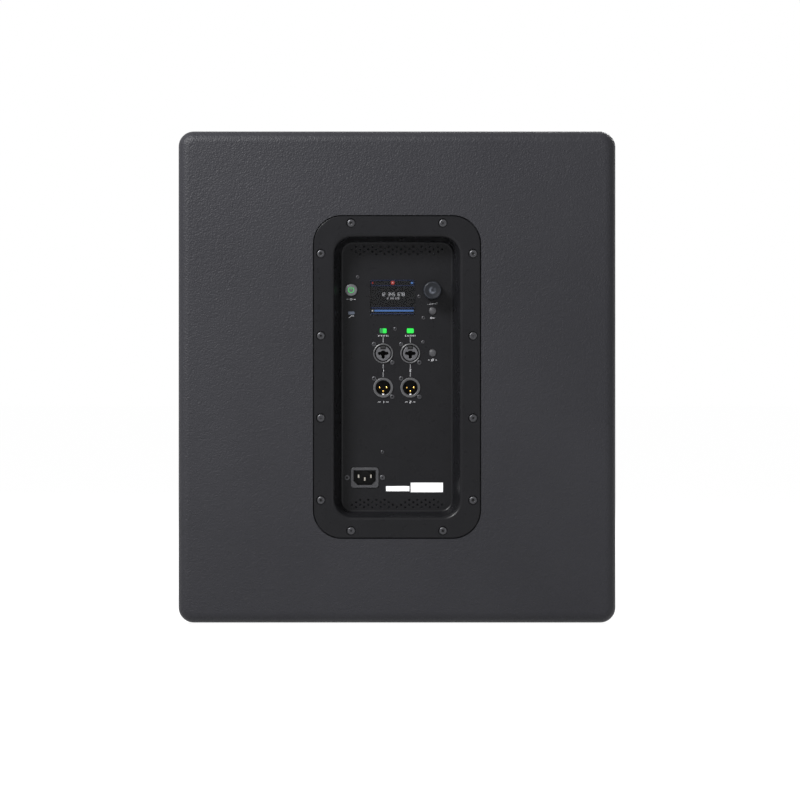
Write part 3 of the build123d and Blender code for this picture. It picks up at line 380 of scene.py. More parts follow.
@dataclass(frozen=True)
class Glow(Finish):
    """A lit lens or picture element that shades from one colour to another across the cabinet."""

    light: Colour = (20, 240, 60)
    dim: Colour = (20, 240, 60)
    strength: float = 0.9
    turn_x: float = 0.0

    def extras(self, graph: Graph) -> None:
        """Lights the surface, dimmer on the side away from the middle.

        Args:
            graph: The material's nodes.
        """
        apart = graph.nodes.new("ShaderNodeSeparateXYZ")
        graph.links.new(graph.place, apart.inputs[0])
        side = graph.spanned(apart.outputs[0], self.turn_x - 0.4 * MM, self.turn_x + 0.8 * MM, 0.0, 1.0)
        graph.drive("Emission Color", graph.mixed(side, self.light, self.dim))
        graph.put(Emission_Strength=self.strength)


@dataclass(frozen=True)
class Window(Finish):
    """Clear, slightly smoked plastic with a faint haze."""

    def extras(self, graph: Graph) -> None:
        """Lets light through.

        Args:
            graph: The material's nodes.
        """
        graph.put(Alpha=0.3)


COAT = Finish("textured_coat", (36, 36, 40), (32, 32, 36), 0.5, 0.04, 0, 0.2, 0.15, Grain.PEBBLE,
              1.5 * MM, 0.34 * MM)
PANEL_PAINT = Finish("panel_paint", (22, 22, 24), (19, 19, 21), 0.3, 0.04, 0, 0.12, 0.03, Grain.NOISE,
                     0.5 * MM, 0.006 * MM)
BLACK_SCREW = Finish("blackened_steel", (62, 62, 65), (40, 40, 43), 0.36, 0.1, 0.75, 0.5, 0.003, Grain.TURNED,
                     0.4 * MM, 0.01 * MM, (150, 150, 152))
SOCKET_DARK = Finish("screw_socket_shadow", (12, 12, 12), (6, 6, 6), 0.7, 0.1, 0, 0.2, 0.002)
KNOB_PLASTIC = Finish("soft_touch_plastic", (20, 22, 27), (16, 18, 22), 0.4, 0.06, 0, 0.2, 0.006, Grain.NOISE,
                      0.3 * MM, 0.015 * MM, (120, 124, 134))
BUTTON_PLASTIC = Finish("button_plastic", (54, 54, 57), (44, 44, 47), 0.4, 0.08, 0, 0.45, 0.004, Grain.NOISE,
                        0.25 * MM, 0.012 * MM)
POWER_CAP = Finish("power_cap_satin", (96, 98, 100), (74, 76, 78), 0.34, 0.07, 0.5, 0.5, 0.004, Grain.TURNED,
                   0.3 * MM, 0.01 * MM)
JACK_PLASTIC = Finish("jack_plastic", (58, 58, 60), (44, 44, 46), 0.38, 0.08, 0, 0.45, 0.004, Grain.NOISE,
                      0.3 * MM, 0.015 * MM, (118, 118, 120))
# Dark finish: the real dark plastic of the jack latches, and painted shade inside the jack wells, in the jack faces'
# holes and in the mains inlet's opening.
DARK_PLASTIC_AND_WELL_SHADE = Finish("jack_latch_plastic_and_painted_well_shade", (16, 16, 17), (10, 10, 11), 0.55, 0.08, 0, 0.3, 0.003)
JACK_METAL = Finish("jack_face_metal", (96, 96, 99), (70, 70, 73), 0.33, 0.1, 0.85, 0.5, 0.003, Grain.BRUSHED,
                    0.25 * MM, 0.012 * MM)
GOLD = Finish("gold_contacts", (236, 190, 96), (200, 150, 66), 0.24, 0.06, 1.0, 0.5, 0.002, Grain.TURNED,
              0.2 * MM, 0.005 * MM)
NICKEL = Finish("nickel_blades", (176, 172, 164), (140, 132, 120), 0.3, 0.08, 1.0, 0.5, 0.003, Grain.BRUSHED,
                0.2 * MM, 0.005 * MM)
BRIGHT_STEEL = Finish("ground_steel", (190, 190, 192), (160, 160, 164), 0.25, 0.06, 1.0, 0.5, 0.004, Grain.TURNED,
                      0.2 * MM, 0.005 * MM)
INLET_PLASTIC = Finish("inlet_plastic", (50, 50, 53), (38, 38, 41), 0.36, 0.07, 0, 0.45, 0.005, Grain.NOISE,
                       0.3 * MM, 0.012 * MM, (110, 110, 114))
STICKER = Finish("sticker_paper", (244, 244, 246), (236, 236, 238), 0.5, 0.06, 0, 0.3, 0.01, Grain.FIBRE,
                 0.3 * MM, 0.006 * MM)
INK = Finish("panel_print", (205, 205, 208), (180, 180, 184), 0.55, 0.05, 0, 0.3, 0.002, Grain.NOISE,
             0.2 * MM, 0.004 * MM)
GREY_INK = Finish("panel_print_grey", (118, 118, 120), (100, 100, 104), 0.55, 0.05, 0, 0.3, 0.002, Grain.NOISE,
                  0.2 * MM, 0.004 * MM)
HANDLE_PLASTIC = Finish("handle_plastic", (38, 38, 40), (30, 30, 32), 0.5, 0.08, 0, 0.4, 0.02, Grain.PEBBLE,
                        0.9 * MM, 0.06 * MM, (78, 78, 80))
GRIP_PLASTIC = Finish("grip_plastic", (34, 34, 36), (27, 27, 29), 0.6, 0.08, 0, 0.35, 0.02, Grain.PEBBLE,
                      0.7 * MM, 0.08 * MM, (70, 70, 72))
RUBBER = Finish("foot_rubber", (28, 28, 28), (40, 39, 37), 0.78, 0.08, 0, 0.3, 0.01, Grain.NOISE,
                0.6 * MM, 0.05 * MM)
SOCKET_STEEL = Finish("socket_steel", (44, 44, 47), (34, 34, 37), 0.38, 0.1, 0.6, 0.5, 0.012, Grain.NOISE,
                      0.6 * MM, 0.03 * MM, (140, 140, 144))
GRILLE_PAINT = Finish("grille_paint", (36, 36, 38), (28, 28, 30), 0.45, 0.08, 0, 0.45, 0.05, Grain.NOISE,
                      0.5 * MM, 0.03 * MM, (84, 84, 86))
FOAM = Finish("open_cell_foam", (22, 22, 23), (12, 12, 13), 0.95, 0.04, 0, 0.15, 0.01, Grain.PORES,
              1.1 * MM, 0.6 * MM)
GASKET = Finish("gasket_foam", (20, 20, 20), (12, 12, 12), 0.9, 0.05, 0, 0.2, 0.01, Grain.PORES, 0.6 * MM, 0.2 * MM)
FELT = Finish("lining_felt", (150, 148, 142), (112, 110, 106), 0.96, 0.03, 0, 0.1, 0.02, Grain.FIBRE,
              2.0 * MM, 1.2 * MM, sheen=0.4)
PLYWOOD = Finish("painted_plywood", (34, 33, 33), (48, 44, 40), 0.62, 0.1, 0, 0.35, 0.03, Grain.WOOD,
                 1.2 * MM, 0.12 * MM, (120, 92, 62))
BASKET_PAINT = Finish("basket_paint", (30, 30, 32), (24, 24, 26), 0.4, 0.08, 0, 0.45, 0.02, Grain.NOISE,
                      0.6 * MM, 0.03 * MM, (96, 96, 98))
FERRITE = Finish("magnet_ferrite", (58, 57, 58), (42, 41, 42), 0.66, 0.08, 0.2, 0.4, 0.01, Grain.NOISE,
                 0.8 * MM, 0.06 * MM)
MOTOR_STEEL = Finish("plated_motor_steel", (150, 148, 138), (122, 120, 110), 0.36, 0.1, 0.9, 0.5, 0.02,
                     Grain.TURNED, 0.6 * MM, 0.02 * MM)
COPPER = Finish("coil_copper", (196, 116, 72), (160, 88, 52), 0.32, 0.08, 1.0, 0.5, 0.006, Grain.BRUSHED,
                0.4 * MM, 0.05 * MM)
PAPER = Finish("cone_paper", (40, 39, 40), (28, 27, 28), 0.8, 0.06, 0, 0.3, 0.012, Grain.FIBRE,
               1.4 * MM, 0.18 * MM, sheen=0.15)
SURROUND = Finish("surround_cloth", (26, 26, 27), (18, 18, 19), 0.72, 0.08, 0, 0.35, 0.01, Grain.WEAVE,
                  0.9 * MM, 0.12 * MM, sheen=0.15)
SPIDER = Finish("spider_cloth", (188, 150, 92), (150, 114, 66), 0.85, 0.05, 0, 0.2, 0.008, Grain.WEAVE,
                0.8 * MM, 0.15 * MM)
SWITCH = Finish("switch_plastic", (24, 24, 26), (18, 18, 20), 0.45, 0.08, 0, 0.4, 0.006)
GALVANISED = Finish("galvanised_steel", (150, 154, 158), (118, 122, 128), 0.42, 0.1, 0.9, 0.5, 0.012,
                    Grain.NOISE, 3.0 * MM, 0.02 * MM)
BOARD = Finish("circuit_board", (18, 66, 42), (12, 48, 30), 0.35, 0.08, 0, 0.5, 0.01, Grain.BRUSHED,
               0.8 * MM, 0.02 * MM)
SINK = Finish("sink_aluminium", (168, 170, 174), (138, 140, 146), 0.38, 0.08, 1.0, 0.5, 0.02, Grain.BRUSHED,
              0.5 * MM, 0.02 * MM)
SLEEVES = Finish("supply_sleeves", (38, 46, 70), (26, 32, 52), 0.35, 0.06, 0, 0.5, 0.01)
LEAD = Finish("lead_sleeve", (140, 24, 22), (104, 16, 16), 0.5, 0.06, 0, 0.4, 0.01)
LENS_SMOKE = Window("display_window", (8, 9, 11), (6, 7, 9), 0.12, 0.03, 0, 0.3, 0.02, Grain.NOISE,
                    2.0 * MM, 0.001 * MM)
SCREEN = Finish("display_screen", (10, 11, 14), (7, 8, 10), 0.3, 0.04, 0, 0.3, 0.01)
LIMIT_LENS = Finish("limit_lens", (66, 74, 88), (52, 58, 72), 0.22, 0.05, 0, 0.5, 0.003, coat=0.3)
WHITE_LIGHT = Glow("screen_white", (60, 60, 60), (50, 50, 50), 0.4, light=(236, 238, 244), dim=(236, 238, 244))
BLUE_LIGHT = Glow("screen_blue", (16, 30, 60), (10, 20, 40), 0.4, light=(92, 148, 226), dim=(92, 148, 226))
DEEP_BLUE = Glow("screen_deep_blue", (10, 20, 50), (8, 14, 30), 0.4, light=(36, 66, 128), dim=(36, 66, 128))
RED_LIGHT = Glow("screen_red", (60, 10, 8), (40, 8, 6), 0.4, light=(228, 60, 44), dim=(228, 60, 44))
POWER_LIGHT = Glow("power_symbol", (10, 60, 24), (8, 40, 16), 0.4, light=(60, 206, 96), dim=(60, 206, 96))


# ---------------------------------------------------------------- shapes
def circle(x: float, z: float, radius: float, y: float, count: int = 32) -> Ring:
    """A ring of points facing along Y.

    Args:
        x: Its centre's x.
        z: Its centre's z.
        radius: Its radius.
        y: Its depth.
        count: How many points.

    Returns:
        The points.
    """
    steps = [math.tau * index / count for index in range(count)]
    return [Vector((x + radius * math.cos(a), y, z + radius * math.sin(a))) for a in steps]


def hexagon(x: float, z: float, radius: float, y: float, count: int = 24, turn: float = 0.0) -> Ring:
    """A hexagon drawn with as many points as a circle.

    Args:
        x: Its centre's x.
        z: Its centre's z.
        radius: From its centre to a corner.
        y: Its depth.
        count: How many points, a multiple of six.
        turn: How far it is turned.

    Returns:
        The points.
    """
    ring = []
    for index in range(count):
        angle = math.tau * index / count
        flat = (angle % (math.pi / 3)) - math.pi / 6
        reach = radius * math.cos(math.pi / 6) / math.cos(flat)
        ring.append(Vector((x + reach * math.cos(angle + turn), y, z + reach * math.sin(angle + turn))))
    return ring


def rounded(x: float, z: float, width: float, height: float, radius: float, y: float, steps: int = 8) -> Ring:
    """A rectangle with rounded corners, facing along Y.

    Args:
        x: Its centre's x.
        z: Its centre's z.
        width: Its size along X.
        height: Its size along Z.
        radius: Its corners' radius.
        y: Its depth.
        steps: Divisions of each corner.

    Returns:
        The points.
    """
    radius = max(min(radius, width / 2, height / 2), 0.01 * MM)
    ring = []
    for corner, (side_x, side_z) in enumerate(((1, 1), (-1, 1), (-1, -1), (1, -1))):
        centre_x = x + side_x * (width / 2 - radius)
        centre_z = z + side_z * (height / 2 - radius)
        for step in range(steps + 1):
            angle = (corner + step / steps) * math.pi / 2
            ring.append(Vector((centre_x + radius * math.cos(angle), y, centre_z + radius * math.sin(angle))))
    return ring


class Shape:
    """Points and faces gathered for one piece."""

    def __init__(self) -> None:
        """Starts empty."""
        self.points: list[Vector] = []
        self.faces: list[list[int]] = []
        self.tints: list[int] = []

    def add(self, points: Ring, faces: list[list[int]], tint: int = 0) -> None:
        """Adds points and the faces between them.

        Args:
            points: The points.
            faces: Faces by index into those points.
            tint: Which of the piece's finishes the faces take.
        """
        start = len(self.points)
        self.points.extend(points)
        self.faces.extend([index + start for index in face] for face in faces)
        self.tints.extend([tint] * len(faces))

    def loft(self, rings: list[Ring], tint: int = 0, open_ends: bool = False, looped: bool = False) -> None:
        """Joins rings of equally many points in order.

        Args:
            rings: The rings.
            tint: Which finish the faces take.
            open_ends: Leaves the first and last ring without a cap.
            looped: Joins the last ring to the first.
        """
        count = len(rings[0])
        faces = []
        rows = len(rings) if looped else len(rings) - 1
        for row in range(rows):
            near = row * count
            far = (row + 1) % len(rings) * count
            for index in range(count):
                after = (index + 1) % count
                faces.append([near + index, near + after, far + after, far + index])
        if not (open_ends or looped):
            faces.append(list(range(count)))
            faces.append([(len(rings) - 1) * count + index for index in range(count)])
        self.add([point for ring in rings for point in ring], faces, tint)

    def lathe(self, profile: Path, x: float = 0.0, z: float = 0.0, count: int = 32, tint: int = 0,
              looped: bool = False) -> None:
        """Turns a profile round a line along Y.

        Args:
            profile: Radius and y of each point, ending on the axis or as a flat cap.
            x: The line's x.
            z: The line's z.
            count: Sides.
            tint: Which finish the faces take.
            looped: Whether the profile closes on itself.
        """
        self.loft([circle(x, z, max(r, 0.005 * MM), y, count) for r, y in profile], tint, looped=looped)

    def slab(self, x: float, z: float, width: float, height: float, radius: float, low: float, high: float,
             ease: float = 0.2 * MM, tint: int = 0) -> None:
        """A plate facing Y with rounded corners and eased edges.

        Args:
            x: Its centre's x.
            z: Its centre's z.
            width: Its size along X.
            height: Its size along Z.
            radius: Its corners' radius.
            low: Its lower y.
            high: Its higher y.
            ease: The radius of its edges.
            tint: Which finish the faces take.
        """
        rings = []
        for y, side in ((low, 1), (high, -1)):
            turns = range(4) if side == 1 else range(3, -1, -1)
            for turn in turns:
                angle = turn / 3 * math.pi / 2
                inset = ease * (1 - math.sin(angle))
                depth = y + side * ease * (1 - math.cos(angle))
                rings.append(rounded(x, z, width - 2 * inset, height - 2 * inset, radius - inset, depth))
        self.loft(rings, tint)

    def stamp(self, other: "Shape", place: Matrix) -> None:
        """Adds a copy of another shape.

        Args:
            other: The shape.
            place: Where the copy goes.
        """
        start = len(self.points)
        self.points.extend(place @ point for point in other.points)
        self.faces.extend([index + start for index in face] for face in other.faces)
        self.tints.extend(other.tints)

    def stroke(self, path: Path, width: float, low: float, high: float, tint: int = 0,
               closed: bool = False) -> None:
        """A flat line of even width facing Y.

        Args:
            path: Its points as x and z.
            width: Its width.
            low: Its lower y.
            high: Its higher y.
            tint: Which finish the faces take.
            closed: Whether it ends where it starts.
        """
        rings = []
        last = len(path) - 1
        for index, (x, z) in enumerate(path):
            before = path[index - 1 if index or closed else 0]
            after = path[(index + 1) % len(path) if index < last or closed else last]
            along = Vector((after[0] - before[0], after[1] - before[1])).normalized()
            side = Vector((-along.y, along.x)) * width / 2
            rings.append([Vector((x + side.x, low, z + side.y)), Vector((x + side.x, high, z + side.y)),
                          Vector((x - side.x, high, z - side.y)), Vector((x - side.x, low, z - side.y))])
        self.loft(rings, tint, looped=closed)

    def object(self, name: str, crease: float = 32.0) -> bpy.types.Object:
        """A Blender object of this shape, smooth but for its creases.

        Args:
            name: The object's name.
            crease: The angle in degrees from which an edge stays sharp.

        Returns:
            The object.
        """
        mesh = bpy.data.meshes.new(name)
        mesh.from_pydata([tuple(point) for point in self.points], [], self.faces)
        mesh.polygons.foreach_set("material_index", self.tints)
        soften(mesh, crease)
        piece = bpy.data.objects.new(name, mesh)
        bpy.context.scene.collection.objects.link(piece)
        return piece


def soften(mesh: bpy.types.Mesh, crease: float) -> None:
    """Turns a mesh's faces outwards and shades it smooth between its creases.

    Args:
        mesh: The mesh.
        crease: The angle in degrees from which an edge stays sharp.
    """
    work = bmesh.new()
    work.from_mesh(mesh)
    bmesh.ops.recalc_face_normals(work, faces=work.faces)
    work.to_mesh(mesh)
    work.free()
    mesh.shade_smooth()
    mesh.set_sharp_from_angle(angle=math.radians(crease))


def settle(piece: bpy.types.Object, finishes: list[Finish], stands_for: list[str],
           body: str = "cabinet", level: bool = True) -> bpy.types.Object:
    """Dresses a piece, parents it to its body and hides the CAD nodes that it stands for.

    Args:
        piece: The piece.
        finishes: Its finishes, in the order of its tints.
        stands_for: The CAD nodes that it stands for.
        body: The body that it moves with.
        level: Whether its large faces are shaded flat, as on anything that isn't domed.

    Returns:
        The piece.
    """
    for finish in finishes:
        piece.data.materials.append(finish.make())
    if level:
        flat = piece.modifiers.new("level_faces", "WEIGHTED_NORMAL")
        flat.weight = 100
        flat.keep_sharp = True
    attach(piece, body)
    if stands_for:
        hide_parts(*stands_for)
    log.info("%s: %d faces", piece.name, len(piece.data.polygons))
    return piece


def carve(piece: bpy.types.Object, cutter: Shape, crease: float = 32.0) -> None:
    """Cuts a shape out of a piece.

    Args:
        piece: The piece.
        cutter: What is cut away.
        crease: The angle in degrees from which an edge stays sharp.
    """
    tool = cutter.object(piece.name + "_cutter")
    step = piece.modifiers.new("carve", "BOOLEAN")
    step.operation = "DIFFERENCE"
    step.solver = "EXACT"
    step.object = tool
    evaluated = piece.evaluated_get(bpy.context.evaluated_depsgraph_get())
    mesh = bpy.data.meshes.new_from_object(evaluated)
    piece.modifiers.clear()
    piece.data = mesh
    soften(mesh, crease)
    bpy.data.objects.remove(tool)


def middle(node: str) -> Vector:
    """The centre of a CAD node's box."""
    low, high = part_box(node)
    return (low + high) / 2


def solids(node: str) -> list[tuple[Vector, Vector]]:
    """The boxes of a CAD node's separate solids.

    Args:
        node: The node's name.

    Returns:
        Each solid's lowest and highest corner, from the cabinet's +X side and from the top down.
    """
    work = bmesh.new()
    work.from_mesh(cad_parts[node].data)
    bmesh.ops.remove_doubles(work, verts=work.verts, dist=0.001 * MM)
    unseen = set(work.verts)
    boxes = []
    while unseen:
        group = [unseen.pop()]
        for vert in group:
            for edge in vert.link_edges:
                other = edge.other_vert(vert)
                if other in unseen:
                    unseen.discard(other)
                    group.append(other)
        spots = [vert.co for vert in group]
        low = Vector([min(spot[axis] for spot in spots) for axis in range(3)])
        high = Vector([max(spot[axis] for spot in spots) for axis in range(3)])
        boxes.append((low, high))
    work.free()
    return sorted(boxes, key=lambda box: (-round(box[0].x, 4), -round(box[1].z, 4), round(box[0].y, 4)))


def eased(node: str, width: float, finish: Finish, body: str = "cabinet",
          name: str = "") -> bpy.types.Object:
    """A copy of a CAD node with its hard edges rounded over, which stands for it.

    Args:
        node: The node's name.
        width: How wide the rounding is.
        finish: Its finish.
        body: The body that it moves with.
        name: The piece's name, or the node's with a suffix.

    Returns:
        The piece.
    """
    sharp = math.radians(28)
    work = bmesh.new()
    work.from_mesh(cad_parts[node].data)
    bmesh.ops.scale(work, vec=Vector((1, 1, 1)) / MM, verts=work.verts)
    bmesh.ops.remove_doubles(work, verts=work.verts, dist=0.001)
    bmesh.ops.dissolve_limit(work, angle_limit=math.radians(0.5), verts=work.verts, edges=work.edges)
    edges = [edge for edge in work.edges if edge.is_manifold and edge.calc_face_angle(0.0) > sharp]
    bmesh.ops.bevel(work, geom=edges, offset=width / MM, segments=2, profile=0.5, affect="EDGES",
                    clamp_overlap=True)
    bmesh.ops.scale(work, vec=Vector((MM, MM, MM)), verts=work.verts)
    mesh = bpy.data.meshes.new(name or node + "_moulding")
    work.to_mesh(mesh)
    work.free()
    soften(mesh, 40.0)
    piece = bpy.data.objects.new(mesh.name, mesh)
    bpy.context.scene.collection.objects.link(piece)
    return settle(piece, [finish], [node], body)


def dress(node: str, finish: Finish) -> None:
    """Gives a CAD node whose shape stays its finish.

    Args:
        node: The node's name.
        finish: The finish.
    """
    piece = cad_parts[node]
    if not piece.material_slots:
        piece.data.materials.append(None)
    for slot in piece.material_slots:
        slot.material = finish.make()
    log.info("%s: %s", node, finish.name)


def arc(x: float, z: float, radius: float, start: float, end: float, steps: int = 16) -> Path:
    """Part of a circle as x and z, with angles in degrees.

    Args:
        x: Its centre's x.
        z: Its centre's z.
        radius: Its radius.
        start: The first angle.
        end: The last angle.
        steps: Divisions.

    Returns:
        The points.
    """
    angles = [math.radians(start + (end - start) * step / steps) for step in range(steps + 1)]
    return [(x + radius * math.cos(angle), z + radius * math.sin(angle)) for angle in angles]


# ---------------------------------------------------------------- studio
@dataclass
class Studio:
    """A pale floor, soft lamps and the camera behind the cabinet."""

    camera_distance: float = 4.0
    frame_width: float = 0.895
    shift_right: float = 3 / 800
    shift_up: float = -23 / 800
    ambient: float = 0.16
    floor_tone: Colour = (238, 238, 238)

    def camera(self) -> None:
        """A long lens square to the back panel."""
        data = bpy.data.cameras.new("camera")
        data.sensor_width = 36
        data.lens = data.sensor_width * self.camera_distance / self.frame_width
        data.shift_x = self.shift_right
        data.shift_y = self.shift_up
        data.clip_end = 60
        holder = bpy.data.objects.new("camera", data)
        panel = middle("amp_panel")
        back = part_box("amp_panel")[1].y
        holder.location = (panel.x, back + self.camera_distance, panel.z)
        holder.rotation_euler = (math.pi / 2, 0, math.pi)
        bpy.context.scene.collection.objects.link(holder)
        bpy.context.scene.camera = holder

    def lamp(self, name: str, size: float, power: float, toward: Vector, distance: float,
             tint: Colour = (255, 255, 255)) -> None:
        """A square soft lamp aimed at the back panel.

        Args:
            name: The lamp's name.
            size: The side of its square.
            power: Its power in watts.
            toward: The direction from the panel to it.
            distance: How far away it is.
            tint: Its colour.
        """
        data = bpy.data.lights.new(name, "AREA")
        data.size = size
        data.energy = power
        data.color = linear(tint)[:3]
        holder = bpy.data.objects.new(name, data)
        aim = middle("amp_panel")
        holder.location = aim + toward.normalized() * distance
        holder.rotation_euler = toward.to_track_quat("Z", "Y").to_euler()
        bpy.context.scene.collection.objects.link(holder)

    def white_for_lens(self, tree: bpy.types.NodeTree) -> bpy.types.NodeSocket:
        """One for rays from the lens and for mirrored or refracted ones, and zero for the rest.

        Args:
            tree: The tree that the nodes go in.

        Returns:
            The value socket.
        """
        path = tree.nodes.new("ShaderNodeLightPath")
        first = tree.nodes.new("ShaderNodeMath")
        first.operation = "MAXIMUM"
        tree.links.new(path.outputs["Is Camera Ray"], first.inputs[0])
        tree.links.new(path.outputs["Is Glossy Ray"], first.inputs[1])
        second = tree.nodes.new("ShaderNodeMath")
        second.operation = "MAXIMUM"
        tree.links.new(first.outputs[0], second.inputs[0])
        tree.links.new(path.outputs["Is Transmission Ray"], second.inputs[1])
        return second.outputs[0]

    def world(self) -> None:
        """White where the lens sees it, and a mild even light everywhere."""
        world = bpy.data.worlds.new("studio")
        bpy.context.scene.world = world
        world.use_nodes = True
        tree = world.node_tree
        tree.nodes.clear()
        mild = tree.nodes.new("ShaderNodeBackground")
        mild.inputs["Strength"].default_value = self.ambient
        seen = tree.nodes.new("ShaderNodeBackground")
        seen.inputs["Strength"].default_value = 1.0
        mix = tree.nodes.new("ShaderNodeMixShader")
        output = tree.nodes.new("ShaderNodeOutputWorld")
        for source in (mild, seen):
            source.inputs["Color"].default_value = (1, 1, 1, 1)
        tree.links.new(self.white_for_lens(tree), mix.inputs[0])
        tree.links.new(mild.outputs[0], mix.inputs[1])
        tree.links.new(seen.outputs[0], mix.inputs[2])
        tree.links.new(mix.outputs[0], output.inputs[0])

    def floor(self) -> None:
        """A wide pale floor that keeps the cabinet's shadow."""
        reach = 30.0
        drop = 0.1 * MM
        plan = ((-reach, -reach), (reach, -reach), (reach, reach), (-reach, reach))
        corners = [Vector((x, y, -drop)) for x, y in plan]
        shape = Shape()
        shape.add(corners, [[0, 1, 2, 3]])
        floor = shape.object("studio_floor")
        material = bpy.data.materials.new("studio_floor")
        material.use_nodes = True
        tree = material.node_tree
        tree.nodes.clear()
        matt = tree.nodes.new("ShaderNodeBsdfDiffuse")
        matt.inputs["Color"].default_value = linear(self.floor_tone)
        shine = tree.nodes.new("ShaderNodeEmission")
        lens = tree.nodes.new("ShaderNodeMath")
        lens.operation = "MULTIPLY"
        lens.inputs[1].default_value = 0.75
        shine.inputs["Strength"].default_value = 1.28
        tree.links.new(self.white_for_lens(tree), lens.inputs[0])
        mix = tree.nodes.new("ShaderNodeMixShader")
        output = tree.nodes.new("ShaderNodeOutputMaterial")
        tree.links.new(lens.outputs[0], mix.inputs[0])
        tree.links.new(matt.outputs[0], mix.inputs[1])
        tree.links.new(shine.outputs[0], mix.inputs[2])
        tree.links.new(mix.outputs[0], output.inputs[0])
        floor.data.materials.append(material)

    def build(self) -> None:
        """Sets up the whole studio."""
        bpy.context.scene.view_settings.view_transform = "Standard"
        self.camera()
        self.world()
        self.floor()
        self.lamp("key", 0.5, 44.0, Vector((0.85, 1.0, 1.05)), 1.6)
        self.lamp("low_fill", 1.2, 9.0, Vector((-0.8, 1.0, -0.25)), 2.2, (250, 252, 255))
        self.lamp("front_soft", 1.4, 90.0, Vector((-0.5, -1.0, 0.6)), 3.2)
        log.info("studio: floor, world, three lamps and camera")


# ---------------------------------------------------------------- fasteners
@dataclass
class ScrewSet:
    """Every screw of one CAD node: domed heads with a hexagon socket, on their shanks."""

    node: str
    head_height: float
    slot: str
    axis: int | None = None
    shank_share: float = 0.5
    sides: int = 24

    def screw(self, radius: float, length: float, height: float, turn: float) -> Shape:
        """One screw along +Y with its head's top at the origin.

        Args:
            radius: The head's radius.
            length: From the head's top to the tip.
            height: The head's height.
            turn: How far its socket is turned.

        Returns:
            The shape.
        """
        shank = radius * self.shank_share
        socket = radius * 0.46
        outline = [(shank * 0.7, -length), (shank, -length + shank * 0.6), (shank, -height), (radius * 0.97, -height),
                   (radius, -height * 0.86), (radius, -height * 0.45), (radius * 0.93, -height * 0.2),
                   (radius * 0.78, -height * 0.04), (radius * 0.6, 0.0)]
        rings = [circle(0, 0, r, y, self.sides) for r, y in outline]
        rings.append(hexagon(0, 0, socket * 1.08, -height * 0.02, self.sides, turn))
        rings.append(hexagon(0, 0, socket, -height * 0.1, self.sides, turn))
        shape = Shape()
        shape.loft(rings, open_ends=True)
        well = [hexagon(0, 0, socket, -height * 0.1, self.sides, turn),
                hexagon(0, 0, socket * 0.98, -height * 0.75, self.sides, turn),
                hexagon(0, 0, socket * 0.3, -height * 0.8, self.sides, turn)]
        shape.loft(well, 1, open_ends=True)
        shape.add(well[2], [list(range(self.sides))], 1)
        shape.add(rings[0], [list(range(self.sides))])
        return shape

    def build(self) -> None:
        """Puts a screw where each CAD solid is."""
        whole = Shape()
        centre = (Vector(cad_box[0]) + Vector(cad_box[1])) / 2
        for index, (low, high) in enumerate(solids(self.node)):
            size = high - low
            axis = self.axis if self.axis is not None else max(range(3), key=lambda a: size[a])
            others = [a for a in range(3) if a != axis]
            radius = min(size[a] for a in others) / 2
            spot = (low + high) / 2
            outward = 1 if spot[axis] > centre[axis] else -1
            spot[axis] = high[axis] if outward > 0 else low[axis]
            facing = Vector([outward if a == axis else 0 for a in range(3)])
            turn = Matrix.Translation(spot) @ BACKWARDS.rotation_difference(facing).to_matrix().to_4x4()
            height = min(self.head_height, size[axis] * 0.5)
            whole.stamp(self.screw(radius, size[axis], height, index * 1.7), turn)
        piece = whole.object(self.node + "_turned")
        settle(piece, [BLACK_SCREW, SOCKET_DARK], [self.node])


